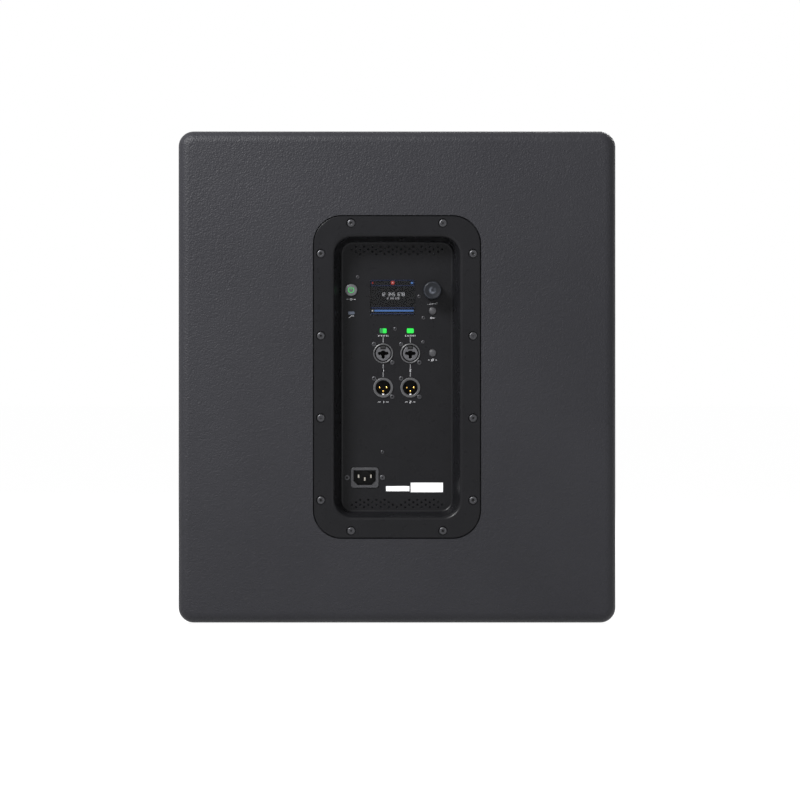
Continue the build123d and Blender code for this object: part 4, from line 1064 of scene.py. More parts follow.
# ---------------------------------------------------------------- cabinet
@dataclass
class CabinetShell:
    """The coated plywood box, its feet, handles and pole socket."""

    edge: float = 0.6 * MM
    thread_pitch: float = 2.5 * MM
    thread_depth: float = 0.7 * MM
    thread_bore: float = 8.75 * MM
    thread_length: float = 45 * MM

    def panels(self) -> None:
        """The coated outside and the painted boards inside."""
        for node in ("top_panel", "bottom_panel", "left_side_panel", "right_side_panel", "back_panel"):
            dress(node, COAT)
        for node in ("front_baffle", "port_boards", "window_brace"):
            dress(node, PLYWOOD)

    def handles(self) -> None:
        """The moulded cups and the grips across them."""
        for side in ("left", "right"):
            eased("handle_cup_" + side, self.edge, HANDLE_PLASTIC)
        eased("handle_grips", self.edge, GRIP_PLASTIC)

    def feet(self) -> None:
        """Rubber feet with a ring of shallow ribs under each."""
        shape = Shape()
        for low, high in solids("rubber_feet"):
            spot = (low + high) / 2
            radius = (high.x - low.x) / 2
            tall = high.z - low.z
            hole = 6.0 * MM
            ribs = 3
            profile = [(hole, 4.0 * MM), (hole, 0.6 * MM), (hole + 0.6 * MM, 0.0)]
            step = (radius - hole - 4.0 * MM) / ribs
            for index in range(ribs):
                start = hole + 1.4 * MM + index * step
                profile += [(start, 0.0), (start + 0.4 * MM, 0.5 * MM), (start + 1.1 * MM, 0.5 * MM),
                            (start + 1.5 * MM, 0.0)]
            profile += [(radius - 1.6 * MM, 0.0), (radius - 0.5 * MM, 0.4 * MM), (radius, 1.4 * MM),
                        (radius, tall), (2.6 * MM, tall), (2.6 * MM, 4.0 * MM)]
            foot = Shape()
            foot.lathe([(r, -y) for r, y in profile], count=48, looped=True)
            turn = Matrix.Translation((spot.x, spot.y, low.z)) @ Matrix.Rotation(-math.pi / 2, 4, "X")
            shape.stamp(foot, turn)
        settle(shape.object("rubber_feet_ribbed"), [RUBBER], ["rubber_feet"])

    def pole_socket(self) -> None:
        """The flanged cup and the thread in its bore."""
        eased("pole_socket", 0.35 * MM, SOCKET_STEEL)
        low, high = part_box("pole_socket")
        spot = (low + high) / 2
        turns = int(self.thread_length / self.thread_pitch) - 2
        per_turn = 32
        rings = []
        for index in range(turns * per_turn + 1):
            angle = math.tau * index / per_turn
            rise = high.z - self.thread_length + self.thread_pitch * (0.8 + index / per_turn)
            out = Vector((math.cos(angle), math.sin(angle), 0))
            ends = min(index, turns * per_turn - index, per_turn // 2) / (per_turn // 2)
            crest = self.thread_bore - self.thread_depth * ends
            half = self.thread_pitch * 0.4
            rings.append([Vector((spot.x, spot.y, rise - half)) + out * (self.thread_bore + 0.1 * MM),
                          Vector((spot.x, spot.y, rise - half * 0.3)) + out * crest,
                          Vector((spot.x, spot.y, rise + half * 0.3)) + out * crest,
                          Vector((spot.x, spot.y, rise + half)) + out * (self.thread_bore + 0.1 * MM)])
        thread = Shape()
        thread.loft(rings)
        settle(thread.object("pole_thread"), [SOCKET_STEEL], [])

    def build(self) -> None:
        """Builds and dresses the cabinet."""
        self.panels()
        self.handles()
        self.feet()
        self.pole_socket()
        ScrewSet("fitting_screws", 2.0 * MM, "black_screw_steel").build()


# ---------------------------------------------------------------- amplifier tray
@dataclass
class AmpTray:
    """The pressed tray with its flush flange, drafted recess and drilled floor."""

    corner: float = 31 * MM
    flange: float = 3.0 * MM
    flange_bevel: float = 0.8 * MM
    mouth_width: float = 141 * MM
    mouth_height: float = 314 * MM
    mouth_corner: float = 20 * MM
    mouth_round: float = 3.6 * MM
    floor_width: float = 126 * MM
    floor_height: float = 304 * MM
    floor_corner: float = 13.5 * MM
    floor_round: float = 2.6 * MM
    depth: float = 28 * MM
    sheet: float = 2.0 * MM
    dimple_radius: float = 5.2 * MM
    dimple_depth: float = 1.2 * MM
    vent_radius: float = 1.1 * MM
    vent_pitch_x: float = 9.25 * MM
    vent_pitch_z: float = 2.75 * MM
    vent_from_centre: float = 138.4 * MM
    clearance: float = 0.15 * MM

    def __post_init__(self) -> None:
        """Reads the panel's place from its CAD node."""
        low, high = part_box("amp_panel")
        self.centre = (low + high) / 2
        self.width = high.x - low.x
        self.height = high.z - low.z
        self.back = high.y
        self.floor = high.y - self.depth

    def section(self, width: float, height: float, radius: float, y: float) -> Ring:
        """One outline of the tray.

        Args:
            width: Its width.
            height: Its height.
            radius: Its corners.
            y: Its depth.

        Returns:
            The points.
        """
        return rounded(self.centre.x, self.centre.z, width, height, radius, y, 12)

    def wall(self, grow: float, down: float) -> Ring:
        """The recess's outline at one depth.

        Args:
            grow: How far it is set outwards.
            down: The depth below the flange's face.

        Returns:
            The points.
        """
        share = down / self.depth
        width = self.mouth_width + (self.floor_width - self.mouth_width) * share
        height = self.mouth_height + (self.floor_height - self.mouth_height) * share
        radius = self.mouth_corner + (self.floor_corner - self.mouth_corner) * share
        return self.section(width + 2 * grow, height + 2 * grow, radius + grow, self.back - down)

    def vents(self) -> Path:
        """The places of the vent holes, in staggered rows."""
        rows = [(10, (0, 2, 3, 4, 5, 6, 7, 9), 1), (11, range(11), 1), (12, range(12), 1), (11, range(11), 1),
                (12, (1, 2, 3, 4, 7, 8, 9, 10), -1), (11, (0, 1, 2, 3, 4, 6, 7, 8, 9, 10), -1),
                (12, range(12), -1), (11, range(11), -1)]
        places = []
        for index, (length, columns, side) in enumerate(rows):
            z = self.centre.z + side * (self.vent_from_centre + index % 4 * self.vent_pitch_z)
            first = self.centre.x - (length - 1) / 2 * self.vent_pitch_x
            places += [(first + column * self.vent_pitch_x, z) for column in columns]
        return places

    def drillings(self) -> Shape:
        """What is cut out of the tray: screw dimples, vents and the controls' holes."""
        cut = Shape()
        through = (self.floor - self.sheet - 1 * MM, self.floor + 1 * MM)
        for low, high in solids("amp_screws"):
            spot = (low + high) / 2
            rim = self.dimple_radius
            cut.lathe([(2.6 * MM, self.back - self.flange - 1 * MM), (2.6 * MM, self.back - self.dimple_depth),
                       (rim - 0.5 * MM, self.back - self.dimple_depth), (rim, self.back - 0.35 * MM),
                       (rim + 0.5 * MM, self.back + 0.3 * MM)], spot.x, spot.z, 32)
        for x, z in self.vents():
            cut.lathe([(self.vent_radius, through[0]), (self.vent_radius, through[1])], x, z, 14)
        for node, gap in (("display_lens", self.clearance), ("limit_light", self.clearance),
                          ("signal_lights", self.clearance)):
            for low, high in solids(node):
                spot = (low + high) / 2
                size = high - low
                cut.loft([rounded(spot.x, spot.z, size.x + 2 * gap, size.z + 2 * gap, 1.0 * MM, y)
                          for y in through])
        for node, collar in (("power_button", 1.4 * MM), ("back_button", 1.4 * MM), ("polarity_button", 1.4 * MM)):
            low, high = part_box(node)
            spot = (low + high) / 2
            radius = (high.x - low.x) / 2 - collar + 0.3 * MM
            cut.lathe([(radius, y) for y in through], spot.x, spot.z, 40)
        knob = middle("volume_knob")
        cut.lathe([(4.6 * MM, y) for y in through], knob.x, knob.z, 32)
        for node in ("input_jack_shells", "through_shells"):
            for low, high in solids(node):
                spot = (low + high) / 2
                cut.lathe([(11.45 * MM, y) for y in through], spot.x, spot.z, 40)
        inlet = middle("mains_inlet")
        cut.loft([rounded(inlet.x, inlet.z, 31.7 * MM, 23.3 * MM, 3.6 * MM, y) for y in through])
        return cut

    def build(self) -> None:
        """Lofts the tray and drills it."""
        back = self.back
        rings = [self.wall(self.sheet, self.depth + self.sheet * 0.5), self.wall(self.sheet, self.depth * 0.5),
                 self.wall(self.sheet, self.flange + 0.5 * MM)]
        rings[0] = [point + Vector((0, -self.sheet * 0.5, 0)) for point in rings[0]]
        rings.append(self.section(self.width, self.height, self.corner, back - self.flange))
        for turn in range(5):
            angle = turn / 4 * math.pi / 2
            inset = self.flange_bevel * (1 - math.cos(angle))
            drop = self.flange_bevel * (1 - math.sin(angle))
            rings.append(self.section(self.width - 2 * inset, self.height - 2 * inset, self.corner - inset,
                                      back - drop))
        for turn in range(9):
            angle = turn / 8 * math.pi / 2
            out = self.mouth_round * (1 - math.sin(angle))
            drop = self.mouth_round * (1 - math.cos(angle))
            ring = self.wall(out, drop)
            rings.append([Vector((point.x, back - drop, point.z)) for point in ring])
        for turn in range(7):
            angle = turn / 6 * math.pi / 2
            inset = self.floor_round * (1 - math.cos(angle))
            rise = self.floor_round * (1 - math.sin(angle))
            ring = self.wall(-inset, self.depth - rise)
            rings.append([Vector((point.x, self.floor + rise, point.z)) for point in ring])
        tray = Shape()
        tray.loft(rings)
        piece = tray.object("amp_tray")
        carve(piece, self.drillings(), 24.0)
        settle(piece, [PANEL_PAINT], ["amp_panel"])
        dress("amp_gasket", GASKET)
        ScrewSet("amp_screws", 1.0 * MM, "black_screw_steel").build()
        ScrewSet("panel_screws", 0.8 * MM, "small_screw_steel", axis=1).build()


# ---------------------------------------------------------------- display
@dataclass
class DisplayUnit:
    """The colour display: a dark screen with bars and plain numbers behind a clear window."""

    glyph_height: float = 3.5 * MM
    glyph_width: float = 2.3 * MM
    line: float = 0.5 * MM
    lift: float = 0.06 * MM

    SEGMENTS = {"0": "abcdef", "1": "bc", "2": "abged", "3": "abgcd", "4": "fgbc", "5": "afgcd",
                "6": "afgedc", "7": "abc", "8": "abcdefg", "9": "abcdfg"}

    def numerals(self, shape: Shape, text: str, centre: Vector, height: float, y: float, tint: int,
                 line: float) -> None:
        """A row of plain seven-segment numbers.

        Args:
            shape: The shape that they join.
            text: The digits and spaces.
            centre: The middle of the row.
            height: The digits' height.
            y: Their back.
            tint: Their finish.
            line: How wide their lines are.
        """
        width = height * 0.52
        pitch = width * 1.5
        ends = {"a": (0, 2, 1, 2), "b": (1, 2, 1, 1), "c": (1, 1, 1, 0), "d": (0, 0, 1, 0), "e": (0, 1, 0, 0),
                "f": (0, 2, 0, 1), "g": (0, 1, 1, 1)}
        for index, digit in enumerate(text):
            right = centre.x - (index - (len(text) - 1) / 2) * pitch + width / 2
            for name in self.SEGMENTS.get(digit, ""):
                u1, v1, u2, v2 = ends[name]
                path = [(right - u1 * width, centre.z + (v1 / 2 - 0.5) * height),
                        (right - u2 * width, centre.z + (v2 / 2 - 0.5) * height)]
                shape.stroke(path, line, y, y + self.lift, tint)

    def build(self) -> None:
        """Builds the screen, its picture and its window."""
        low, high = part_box("display_lens")
        centre = (low + high) / 2
        module_low, module_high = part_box("display_module")
        front = module_high.y
        body = Shape()
        size = module_high - module_low
        body.slab(centre.x, centre.z, size.x, size.z, 1.5 * MM, module_low.y, front, 0.3 * MM)
        settle(body.object("display_screen"), [SCREEN], ["display_module"])

        wide = high.x - low.x
        tall = high.z - low.z
        picture = Shape()
        face = (front, front + self.lift)

        def bar(u: float, v: float, width: float, height: float, tint: int) -> None:
            """One filled rectangle of the picture.

            Args:
                u: Its centre to the viewer's right, from -0.5 to 0.5 of the screen.
                v: Its centre upwards, likewise.
                width: Its width.
                height: Its height.
                tint: Its finish.
            """
            picture.slab(centre.x - u * wide, centre.z + v * tall, width, height, min(width, height) * 0.3,
                         face[0], face[1], 0.02 * MM, tint)

        outline = rounded(centre.x, centre.z + 0.42 * tall, wide * 0.95, 6.0 * MM, 1.0 * MM, 0.0)
        picture.stroke([(point.x, point.z) for point in outline], 0.35 * MM, face[0], face[1], 2, True)
        bar(-0.445, 0.42, 1.2 * MM, 1.8 * MM, 3)
        bar(0.0, 0.425, 4.0 * MM, 4.0 * MM, 3)
        bar(0.43, 0.42, 2.6 * MM, 2.4 * MM, 1)
        bar(0.0, -0.29, wide * 0.95, 0.6 * MM, 2)
        bar(0.03, -0.37, wide * 0.88, 2.0 * MM, 1)
        bar(-0.45, -0.37, 1.6 * MM, 1.8 * MM, 0)
        bar(0.0, -0.455, wide * 0.95, 0.5 * MM, 2)
        dot = Vector((centre.x, 0, centre.z + 0.425 * tall))
        picture.slab(dot.x, dot.z, 1.4 * MM, 1.4 * MM, 0.7 * MM, face[1], face[1] + self.lift, 0.01 * MM, 0)
        row = Vector((centre.x, 0, centre.z + 0.095 * tall))
        self.numerals(picture, "12 345 678", row, self.glyph_height, front, 0, self.line)
        row = Vector((centre.x, 0, centre.z - 0.02 * tall))
        self.numerals(picture, "12 345 678", row, self.glyph_height * 0.55, front, 0, self.line * 0.6)
        settle(picture.object("display_figures"), [WHITE_LIGHT, BLUE_LIGHT, DEEP_BLUE, RED_LIGHT],
               [])

        window = Shape()
        window.slab(centre.x, centre.z, wide, tall, 0.9 * MM, low.y, high.y, 0.25 * MM)
        settle(window.object("display_window"), [LENS_SMOKE], ["display_lens"])


# ---------------------------------------------------------------- controls
@dataclass
class Controls:
    """The volume knob, the push buttons and the indicator lenses."""

    knurls: int = 60
    knurl_depth: float = 0.22 * MM
    collar: float = 1.4 * MM

    def knob(self) -> None:
        """A knob with a fine knurl, an eased shoulder and a dished face."""
        low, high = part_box("volume_knob")
        spot = (low + high) / 2
        radius = (high.x - low.x) / 2
        bore = 3.05 * MM
        shaft_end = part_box("encoder_shaft")[1].y
        profile = [(bore, shaft_end, 0), (bore, low.y, 0), (radius - 0.8 * MM, low.y, 0),
                   (radius - 0.2 * MM, low.y + 0.4 * MM, 0), (radius, low.y + 1.2 * MM, 1),
                   (radius, low.y + 6 * MM, 1), (radius, high.y - 3.0 * MM, 1), (radius - 0.1 * MM, high.y - 2.2 * MM, 0),
                   (radius - 0.45 * MM, high.y - 1.0 * MM, 0), (radius - 1.1 * MM, high.y - 0.25 * MM, 0),
                   (radius - 1.8 * MM, high.y, 0), (radius - 2.3 * MM, high.y - 0.15 * MM, 0),
                   (radius * 0.55, high.y - 0.55 * MM, 0), (radius * 0.25, high.y - 0.7 * MM, 0),
                   (0.01 * MM, high.y - 0.75 * MM, 0)]
        count = self.knurls * 4
        rings = []
        for reach, y, knurled in profile:
            ring = []
            for index in range(count):
                angle = math.tau * index / count
                groove = self.knurl_depth * knurled * (0.5 - 0.5 * math.cos(math.tau * index / 4))
                ring.append(Vector((spot.x + (reach - groove) * math.cos(angle), y,
                                    spot.z + (reach - groove) * math.sin(angle))))
            rings.append(ring)
        shape = Shape()
        shape.loft(rings)
        settle(shape.object("knob_cap", 50.0), [KNOB_PLASTIC], ["volume_knob"], "knob", False)
        dress("encoder_shaft", BRIGHT_STEEL)
        dress("encoder_plunger", BRIGHT_STEEL)

    def button(self, node: str, finish: Finish, dome: float, rim: float) -> None:
        """One domed button with its collar behind the panel.

        Args:
            node: The CAD node, whose body has the same name.
            finish: Its finish.
            dome: How far its middle stands above its edge.
            rim: The width of a raised rim, or zero.
        """
        low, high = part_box(node)
        spot = (low + high) / 2
        radius = (high.x - low.x) / 2 - self.collar
        collar_top = low.y + 3.7 * MM
        edge = high.y - dome
        profile = [(radius + self.collar, low.y), (radius + self.collar, collar_top), (radius, collar_top),
                   (radius, edge - 0.3 * MM), (radius - 0.2 * MM, edge + 0.05 * MM)]
        if rim:
            profile += [(radius - 0.4 * MM, edge + 0.15 * MM), (radius - rim, edge + 0.1 * MM),
                        (radius - rim - 0.2 * MM, edge - 0.15 * MM)]
        steps = 8
        start = profile[-1]
        for step in range(1, steps + 1):
            share = step / steps
            profile.append((start[0] * (1 - share), start[1] + (high.y - start[1]) * (1 - (1 - share) ** 2)))
        shape = Shape()
        shape.lathe(profile, spot.x, spot.z, 48)
        settle(shape.object(node + "_cap"), [finish], [node], node, False)

    def power_symbol(self) -> None:
        """A lit ring broken by a short line, set into the power button."""
        low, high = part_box("power_button")
        spot = (low + high) / 2
        radius = 3.0 * MM
        line = 0.75 * MM
        base = high.y - 0.5 * MM
        shape = Shape()
        shape.stroke(arc(spot.x, spot.z, radius, 90 + 32, 450 - 32, 28), line, base, high.y)
        shape.stroke([(spot.x, spot.z + radius * 0.15), (spot.x, spot.z + radius * 1.15)], line, base, high.y)
        settle(shape.object("power_symbol"), [POWER_LIGHT], [], "power_button")

    def lights(self) -> None:
        """The two lit signal lenses and the unlit limit lens."""
        for index, (low, high) in enumerate(solids("signal_lights")):
            spot = (low + high) / 2
            size = high - low
            shape = Shape()
            shape.slab(spot.x, spot.z, size.x, size.z, 1.3 * MM, low.y, high.y, 0.5 * MM)
            dim = (24, 120, 60) if index == 0 else (24, 244, 70)
            finish = Glow("signal_lens_" + str(index + 1), (14, 70, 30), (10, 50, 20), 0.25, light=(24, 240, 74),
                          dim=dim, turn_x=spot.x)
            stands = ["signal_lights"] if index == 0 else []
            settle(shape.object("signal_lens_" + str(index + 1)), [finish], stands)
        low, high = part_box("limit_light")
        spot = (low + high) / 2
        shape = Shape()
        shape.slab(spot.x, spot.z, high.x - low.x, high.z - low.z, 1.0 * MM, low.y, high.y, 0.4 * MM)
        settle(shape.object("limit_lens"), [LIMIT_LENS], ["limit_light"])

    def build(self) -> None:
        """Builds the controls."""
        self.knob()
        self.button("power_button", POWER_CAP, 0.9 * MM, 0.0)
        self.button("back_button", BUTTON_PLASTIC, 0.5 * MM, 0.6 * MM)
        self.button("polarity_button", BUTTON_PLASTIC, 0.5 * MM, 0.6 * MM)
        self.power_symbol()
        self.lights()
        dress("board_switches", SWITCH)


# ---------------------------------------------------------------- connectors
@dataclass
class Connectors:
    """The combination inputs, the through connectors and the mains inlet."""

    ring_radius: float = 11.3 * MM
    combo_bore: float = 9.4 * MM
    through_bore: float = 8.3 * MM
    pin_radius: float = 1.2 * MM
    inlet_width: float = 31.4 * MM
    inlet_height: float = 23.0 * MM
    inlet_open_width: float = 24.8 * MM
    inlet_open_height: float = 16.4 * MM
    inlet_corner: float = 4.6 * MM
    inlet_depth: float = 17.0 * MM

    def shell(self, node: str, bore: float) -> None:
        """The round fronts and square bodies of two connectors.

        Args:
            node: The CAD node of both.
            bore: The radius of their wells.
        """
        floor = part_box("amp_panel")[1].y - AmpTray.depth
        shape = Shape()
        for low, high in solids(node):
            spot = (low + high) / 2
            size = high - low
            back = floor - AmpTray.sheet
            well = low.y + 3.0 * MM
            top = high.y
            outer = self.ring_radius
            profile = [(bore, well), (bore, top - 0.8 * MM), (bore + 0.3 * MM, top - 0.35 * MM),
                       (bore + 0.8 * MM, top - 0.05 * MM), (outer - 0.8 * MM, top), (outer - 0.25 * MM, top - 0.25 * MM),
                       (outer, top - 0.8 * MM), (outer, back)]
            rings = [circle(spot.x, spot.z, r, y, 36) for r, y in profile]
            rings.append(rounded(spot.x, spot.z, size.x, size.z, 1.5 * MM, back))
            rings.append(rounded(spot.x, spot.z, size.x, size.z, 1.5 * MM, low.y))
            shape.loft(rings[1:], open_ends=True)
            # The well's wall and floor take the dark finish: painted shade inside the well.
            shape.loft([rings[0], rings[1]], 1, open_ends=True)
            shape.add(rings[0], [list(range(36))], 1)
            shape.add(rings[-1], [list(range(36))])
        settle(shape.object(node + "_turned"), [JACK_PLASTIC, DARK_PLASTIC_AND_WELL_SHADE], [node])

    def pins(self) -> None:
        """Round-tipped gold pins."""
        shape = Shape()
        for low, high in solids("through_pins"):
            spot = (low + high) / 2
            radius = (high.x - low.x) / 2
            shape.lathe([(radius, low.y), (radius, high.y - 0.9 * MM), (radius * 0.85, high.y - 0.4 * MM),
                         (radius * 0.5, high.y - 0.08 * MM), (0.0, high.y)], spot.x, spot.z, 20)
        settle(shape.object("through_pins_turned"), [GOLD], ["through_pins"])

    def keyways(self) -> None:
        """A small key at the foot of each through connector's well."""
        shape = Shape()
        for low, high in solids("through_shells"):
            spot = (low + high) / 2
            shape.slab(spot.x, spot.z - self.through_bore + 0.6 * MM, 2.2 * MM, 1.8 * MM, 0.4 * MM,
                       low.y + 3.0 * MM, high.y - 0.9 * MM, 0.2 * MM)
        settle(shape.object("through_keys"), [INK], [])

    def inlet(self) -> None:
        """The framed mains inlet with its two cut corners."""
        low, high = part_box("mains_inlet")
        centre = (low + high) / 2
        frame_shape = Shape()
        frame_shape.slab(centre.x, centre.z, self.inlet_width, self.inlet_height, 3.5 * MM, low.y, high.y, 0.7 * MM)
        piece = frame_shape.object("mains_inlet_frame")
        half_w = self.inlet_open_width / 2
        half_h = self.inlet_open_height / 2
        corner = self.inlet_corner
        outline = [(-half_w, half_h), (half_w, half_h), (half_w, corner - half_h), (half_w - corner, -half_h),
                   (corner - half_w, -half_h), (-half_w, corner - half_h)]
        cut = Shape()
        levels = [(high.y - self.inlet_depth, 1.0), (high.y - 0.5 * MM, 1.0), (high.y + 0.3 * MM, 1.05)]
        cut.loft([[Vector((centre.x + u * grow, y, centre.z + v * grow)) for u, v in outline] for y, grow in levels])
        carve(piece, cut)
        settle(piece, [INLET_PLASTIC], ["mains_inlet"])
        # A dark lining just inside the inlet's opening and across its floor: painted shade, since the inlet's own
        # plastic is lighter.
        well = Shape()
        inner = 0.994
        rings = [[Vector((centre.x + u * inner, y, centre.z + v * inner)) for u, v in outline]
                 for y in (high.y - 1.2 * MM, high.y - self.inlet_depth + 0.05 * MM)]
        well.loft(rings, open_ends=True)
        well.add(rings[1], [list(range(6))])
        settle(well.object("mains_inlet_well_shade"), [DARK_PLASTIC_AND_WELL_SHADE], [])
        ears = Shape()
        ear_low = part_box("amp_panel")[0].y - 3.0 * MM
        ears.slab(centre.x, centre.z, high.x - low.x, self.inlet_height - 3.0 * MM, 3.0 * MM, ear_low,
                  ear_low + 2.95 * MM, 0.3 * MM)
        hole = Shape()
        hole.slab(centre.x, centre.z, self.inlet_width - 2 * MM, self.inlet_height - 4 * MM, 3.0 * MM,
                  ear_low - 1 * MM, ear_low + 4 * MM)
        plate = ears.object("mains_inlet_ears")
        carve(plate, hole)
        settle(plate, [INLET_PLASTIC], [])
        blades = Shape()
        for low_blade, high_blade in solids("inlet_blades"):
            spot = (low_blade + high_blade) / 2
            blades.slab(spot.x, spot.z, high_blade.x - low_blade.x, high_blade.z - low_blade.z, 0.3 * MM,
                        low_blade.y, high_blade.y, 0.5 * MM)
        settle(blades.object("inlet_blades_formed"), [NICKEL], ["inlet_blades"])

    def build(self) -> None:
        """Builds the connectors."""
        self.shell("input_jack_shells", self.combo_bore)
        self.shell("through_shells", self.through_bore)
        faces = eased("input_jack_faces", 0.25 * MM, JACK_METAL)
        faces.data.materials.append(DARK_PLASTIC_AND_WELL_SHADE.make())
        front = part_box("input_jack_faces")[1].y
        # Faces sunk below the jack face, the walls of its holes, take the dark finish: painted shade in the holes.
        for polygon in faces.data.polygons:
            if polygon.center.y < front - 0.5 * MM:
                polygon.material_index = 1
        for number in ("1", "2"):
            node = "input_latch_" + number
            # The latches take the dark finish as their own dark plastic.
            eased(node, 0.3 * MM, DARK_PLASTIC_AND_WELL_SHADE, node)
        self.pins()
        self.keyways()
        self.inlet()


# ---------------------------------------------------------------- print and stickers
@dataclass
class PanelPrint:
    """White signs beside the controls, made of plain strokes and numbers, and two blank stickers."""

    line: float = 0.42 * MM
    lift: float = 0.05 * MM

    def __post_init__(self) -> None:
        """Finds the panel's floor and starts the white signs."""
        self.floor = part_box("amp_panel")[1].y - AmpTray.depth
        self.white = Shape()

    def sign(self, strokes: list[Path], x: float, z: float) -> None:
        """One sign, drawn as the viewer behind the cabinet sees it.

        Args:
            strokes: Its lines, in metres to the viewer's right and upwards.
            x: The place of its middle.
            z: The height of its middle.
        """
        for stroke in strokes:
            self.white.stroke([(x - u, z + v) for u, v in stroke], self.line, self.floor - 0.01 * MM,
                              self.floor + self.lift)

    def signs(self) -> None:
        """The signs under the controls and over the jacks."""
        h = 1.1 * MM
        below = 10.6 * MM
        power = middle("power_button")
        self.sign([arc(0, 0, h, 125, 415, 14), [(0, 0.1 * MM), (0, 1.3 * MM)], [(3 * MM, 0), (5 * MM, 0)],
                   [(-3 * MM, 0), (-5 * MM, 0)]], power.x, power.z - below)
        limit = middle("limit_light")
        self.sign([[(-3 * MM, -h), (0, h)], [(0, h), (3 * MM, h)]], limit.x, limit.z - 4.4 * MM)
        knob = middle("volume_knob")
        steps = [[(step * 1.7 * MM, -h), (step * 1.7 * MM, -h + (step + 4) * 0.32 * MM)] for step in range(-3, 4)]
        self.sign(steps, knob.x, knob.z - 14.4 * MM)
        back = middle("back_button")
        self.sign([[(-2.6 * MM, 0), (2.6 * MM, 0)], [(-1.2 * MM, h), (-2.6 * MM, 0), (-1.2 * MM, -h)]],
                  back.x, back.z - 8.0 * MM)
        polarity = middle("polarity_button")
        self.sign([arc(0, 0, h, 0, 360, 18), [(-1.5 * MM, -1.5 * MM), (1.5 * MM, 1.5 * MM)],
                   [(-5 * MM, 0), (-3 * MM, 0)], [(3 * MM, 0), (5 * MM, 0)]], polarity.x, polarity.z - 8.0 * MM)

    def channels(self) -> None:
        """Each channel's numbers and level marks, and the grey lines that join its parts."""
        grey = Shape()
        writer = DisplayUnit()
        lights = solids("signal_lights")
        inputs = solids("input_jack_shells")
        throughs = solids("through_shells")
        for index in range(2):
            light = (lights[index][0] + lights[index][1]) / 2
            jack = (inputs[index][0] + inputs[index][1]) / 2
            out = (throughs[index][0] + throughs[index][1]) / 2
            number = str(index + 1)
            marks = [[(step * 1.8 * MM, -0.9 * MM), (step * 1.8 * MM, 0.9 * MM)] for step in range(-3, 4)]
            self.sign(marks, light.x, light.z - 5.6 * MM)
            for z in ((jack.z + out.z) / 2, out.z - 16.2 * MM):
                spot = Vector((light.x, 0, z))
                writer.numerals(self.white, number, spot, 2.4 * MM, self.floor - 0.01 * MM, 0, self.line)
            self.sign([[(-6 * MM, 0), (-3 * MM, 0)], [(3 * MM, 0), (6 * MM, 0)]], light.x, out.z - 16.2 * MM)
            for top, bottom in ((light.z - 7.2 * MM, jack.z + 12.2 * MM), (jack.z - 12.0 * MM, jack.z - 17.2 * MM),
                                (out.z + 17.2 * MM, out.z + 12.2 * MM)):
                grey.stroke([(light.x, top), (light.x, bottom)], 0.9 * MM, self.floor - 0.01 * MM,
                            self.floor + self.lift)
        settle(grey.object("channel_lines"), [GREY_INK], [])

    def stickers(self) -> None:
        """Two blank stickers, with corners that have just begun to lift."""
        shape = Shape()
        for low, high in solids("blank_labels"):
            size = high - low
            columns, rows = 24, 8
            grid = []
            for row in range(rows + 1):
                for column in range(columns + 1):
                    u = column / columns
                    v = row / rows
                    corner = max(abs(u - 0.5) * 2, 0.0) ** 14 * max(abs(v - 0.5) * 2, 0.0) ** 6
                    grid.append(Vector((low.x + u * size.x, high.y + 0.12 * MM * corner, low.z + v * size.z)))
            faces = []
            for row in range(rows):
                for column in range(columns):
                    start = row * (columns + 1) + column
                    faces.append([start, start + 1, start + columns + 2, start + columns + 1])
            under = [Vector((point.x, point.y - 0.14 * MM, point.z)) for point in grid]
            total = len(grid)
            edge = [column for column in range(columns)]
            edge += [row * (columns + 1) + columns for row in range(rows)]
            edge += [rows * (columns + 1) + columns - column for column in range(columns)]
            edge += [(rows - row) * (columns + 1) for row in range(rows)]
            back = [[index + total for index in face[::-1]] for face in faces]
            sides = [[a, b, b + total, a + total] for a, b in zip(edge, edge[1:] + edge[:1])]
            shape.add(grid + under, faces + back + sides)
        settle(shape.object("blank_stickers"), [STICKER], ["blank_labels"])

    def build(self) -> None:
        """Prints the panel and puts the stickers on."""
        self.signs()
        self.channels()
        settle(self.white.object("panel_signs"), [INK], [])
        self.stickers()


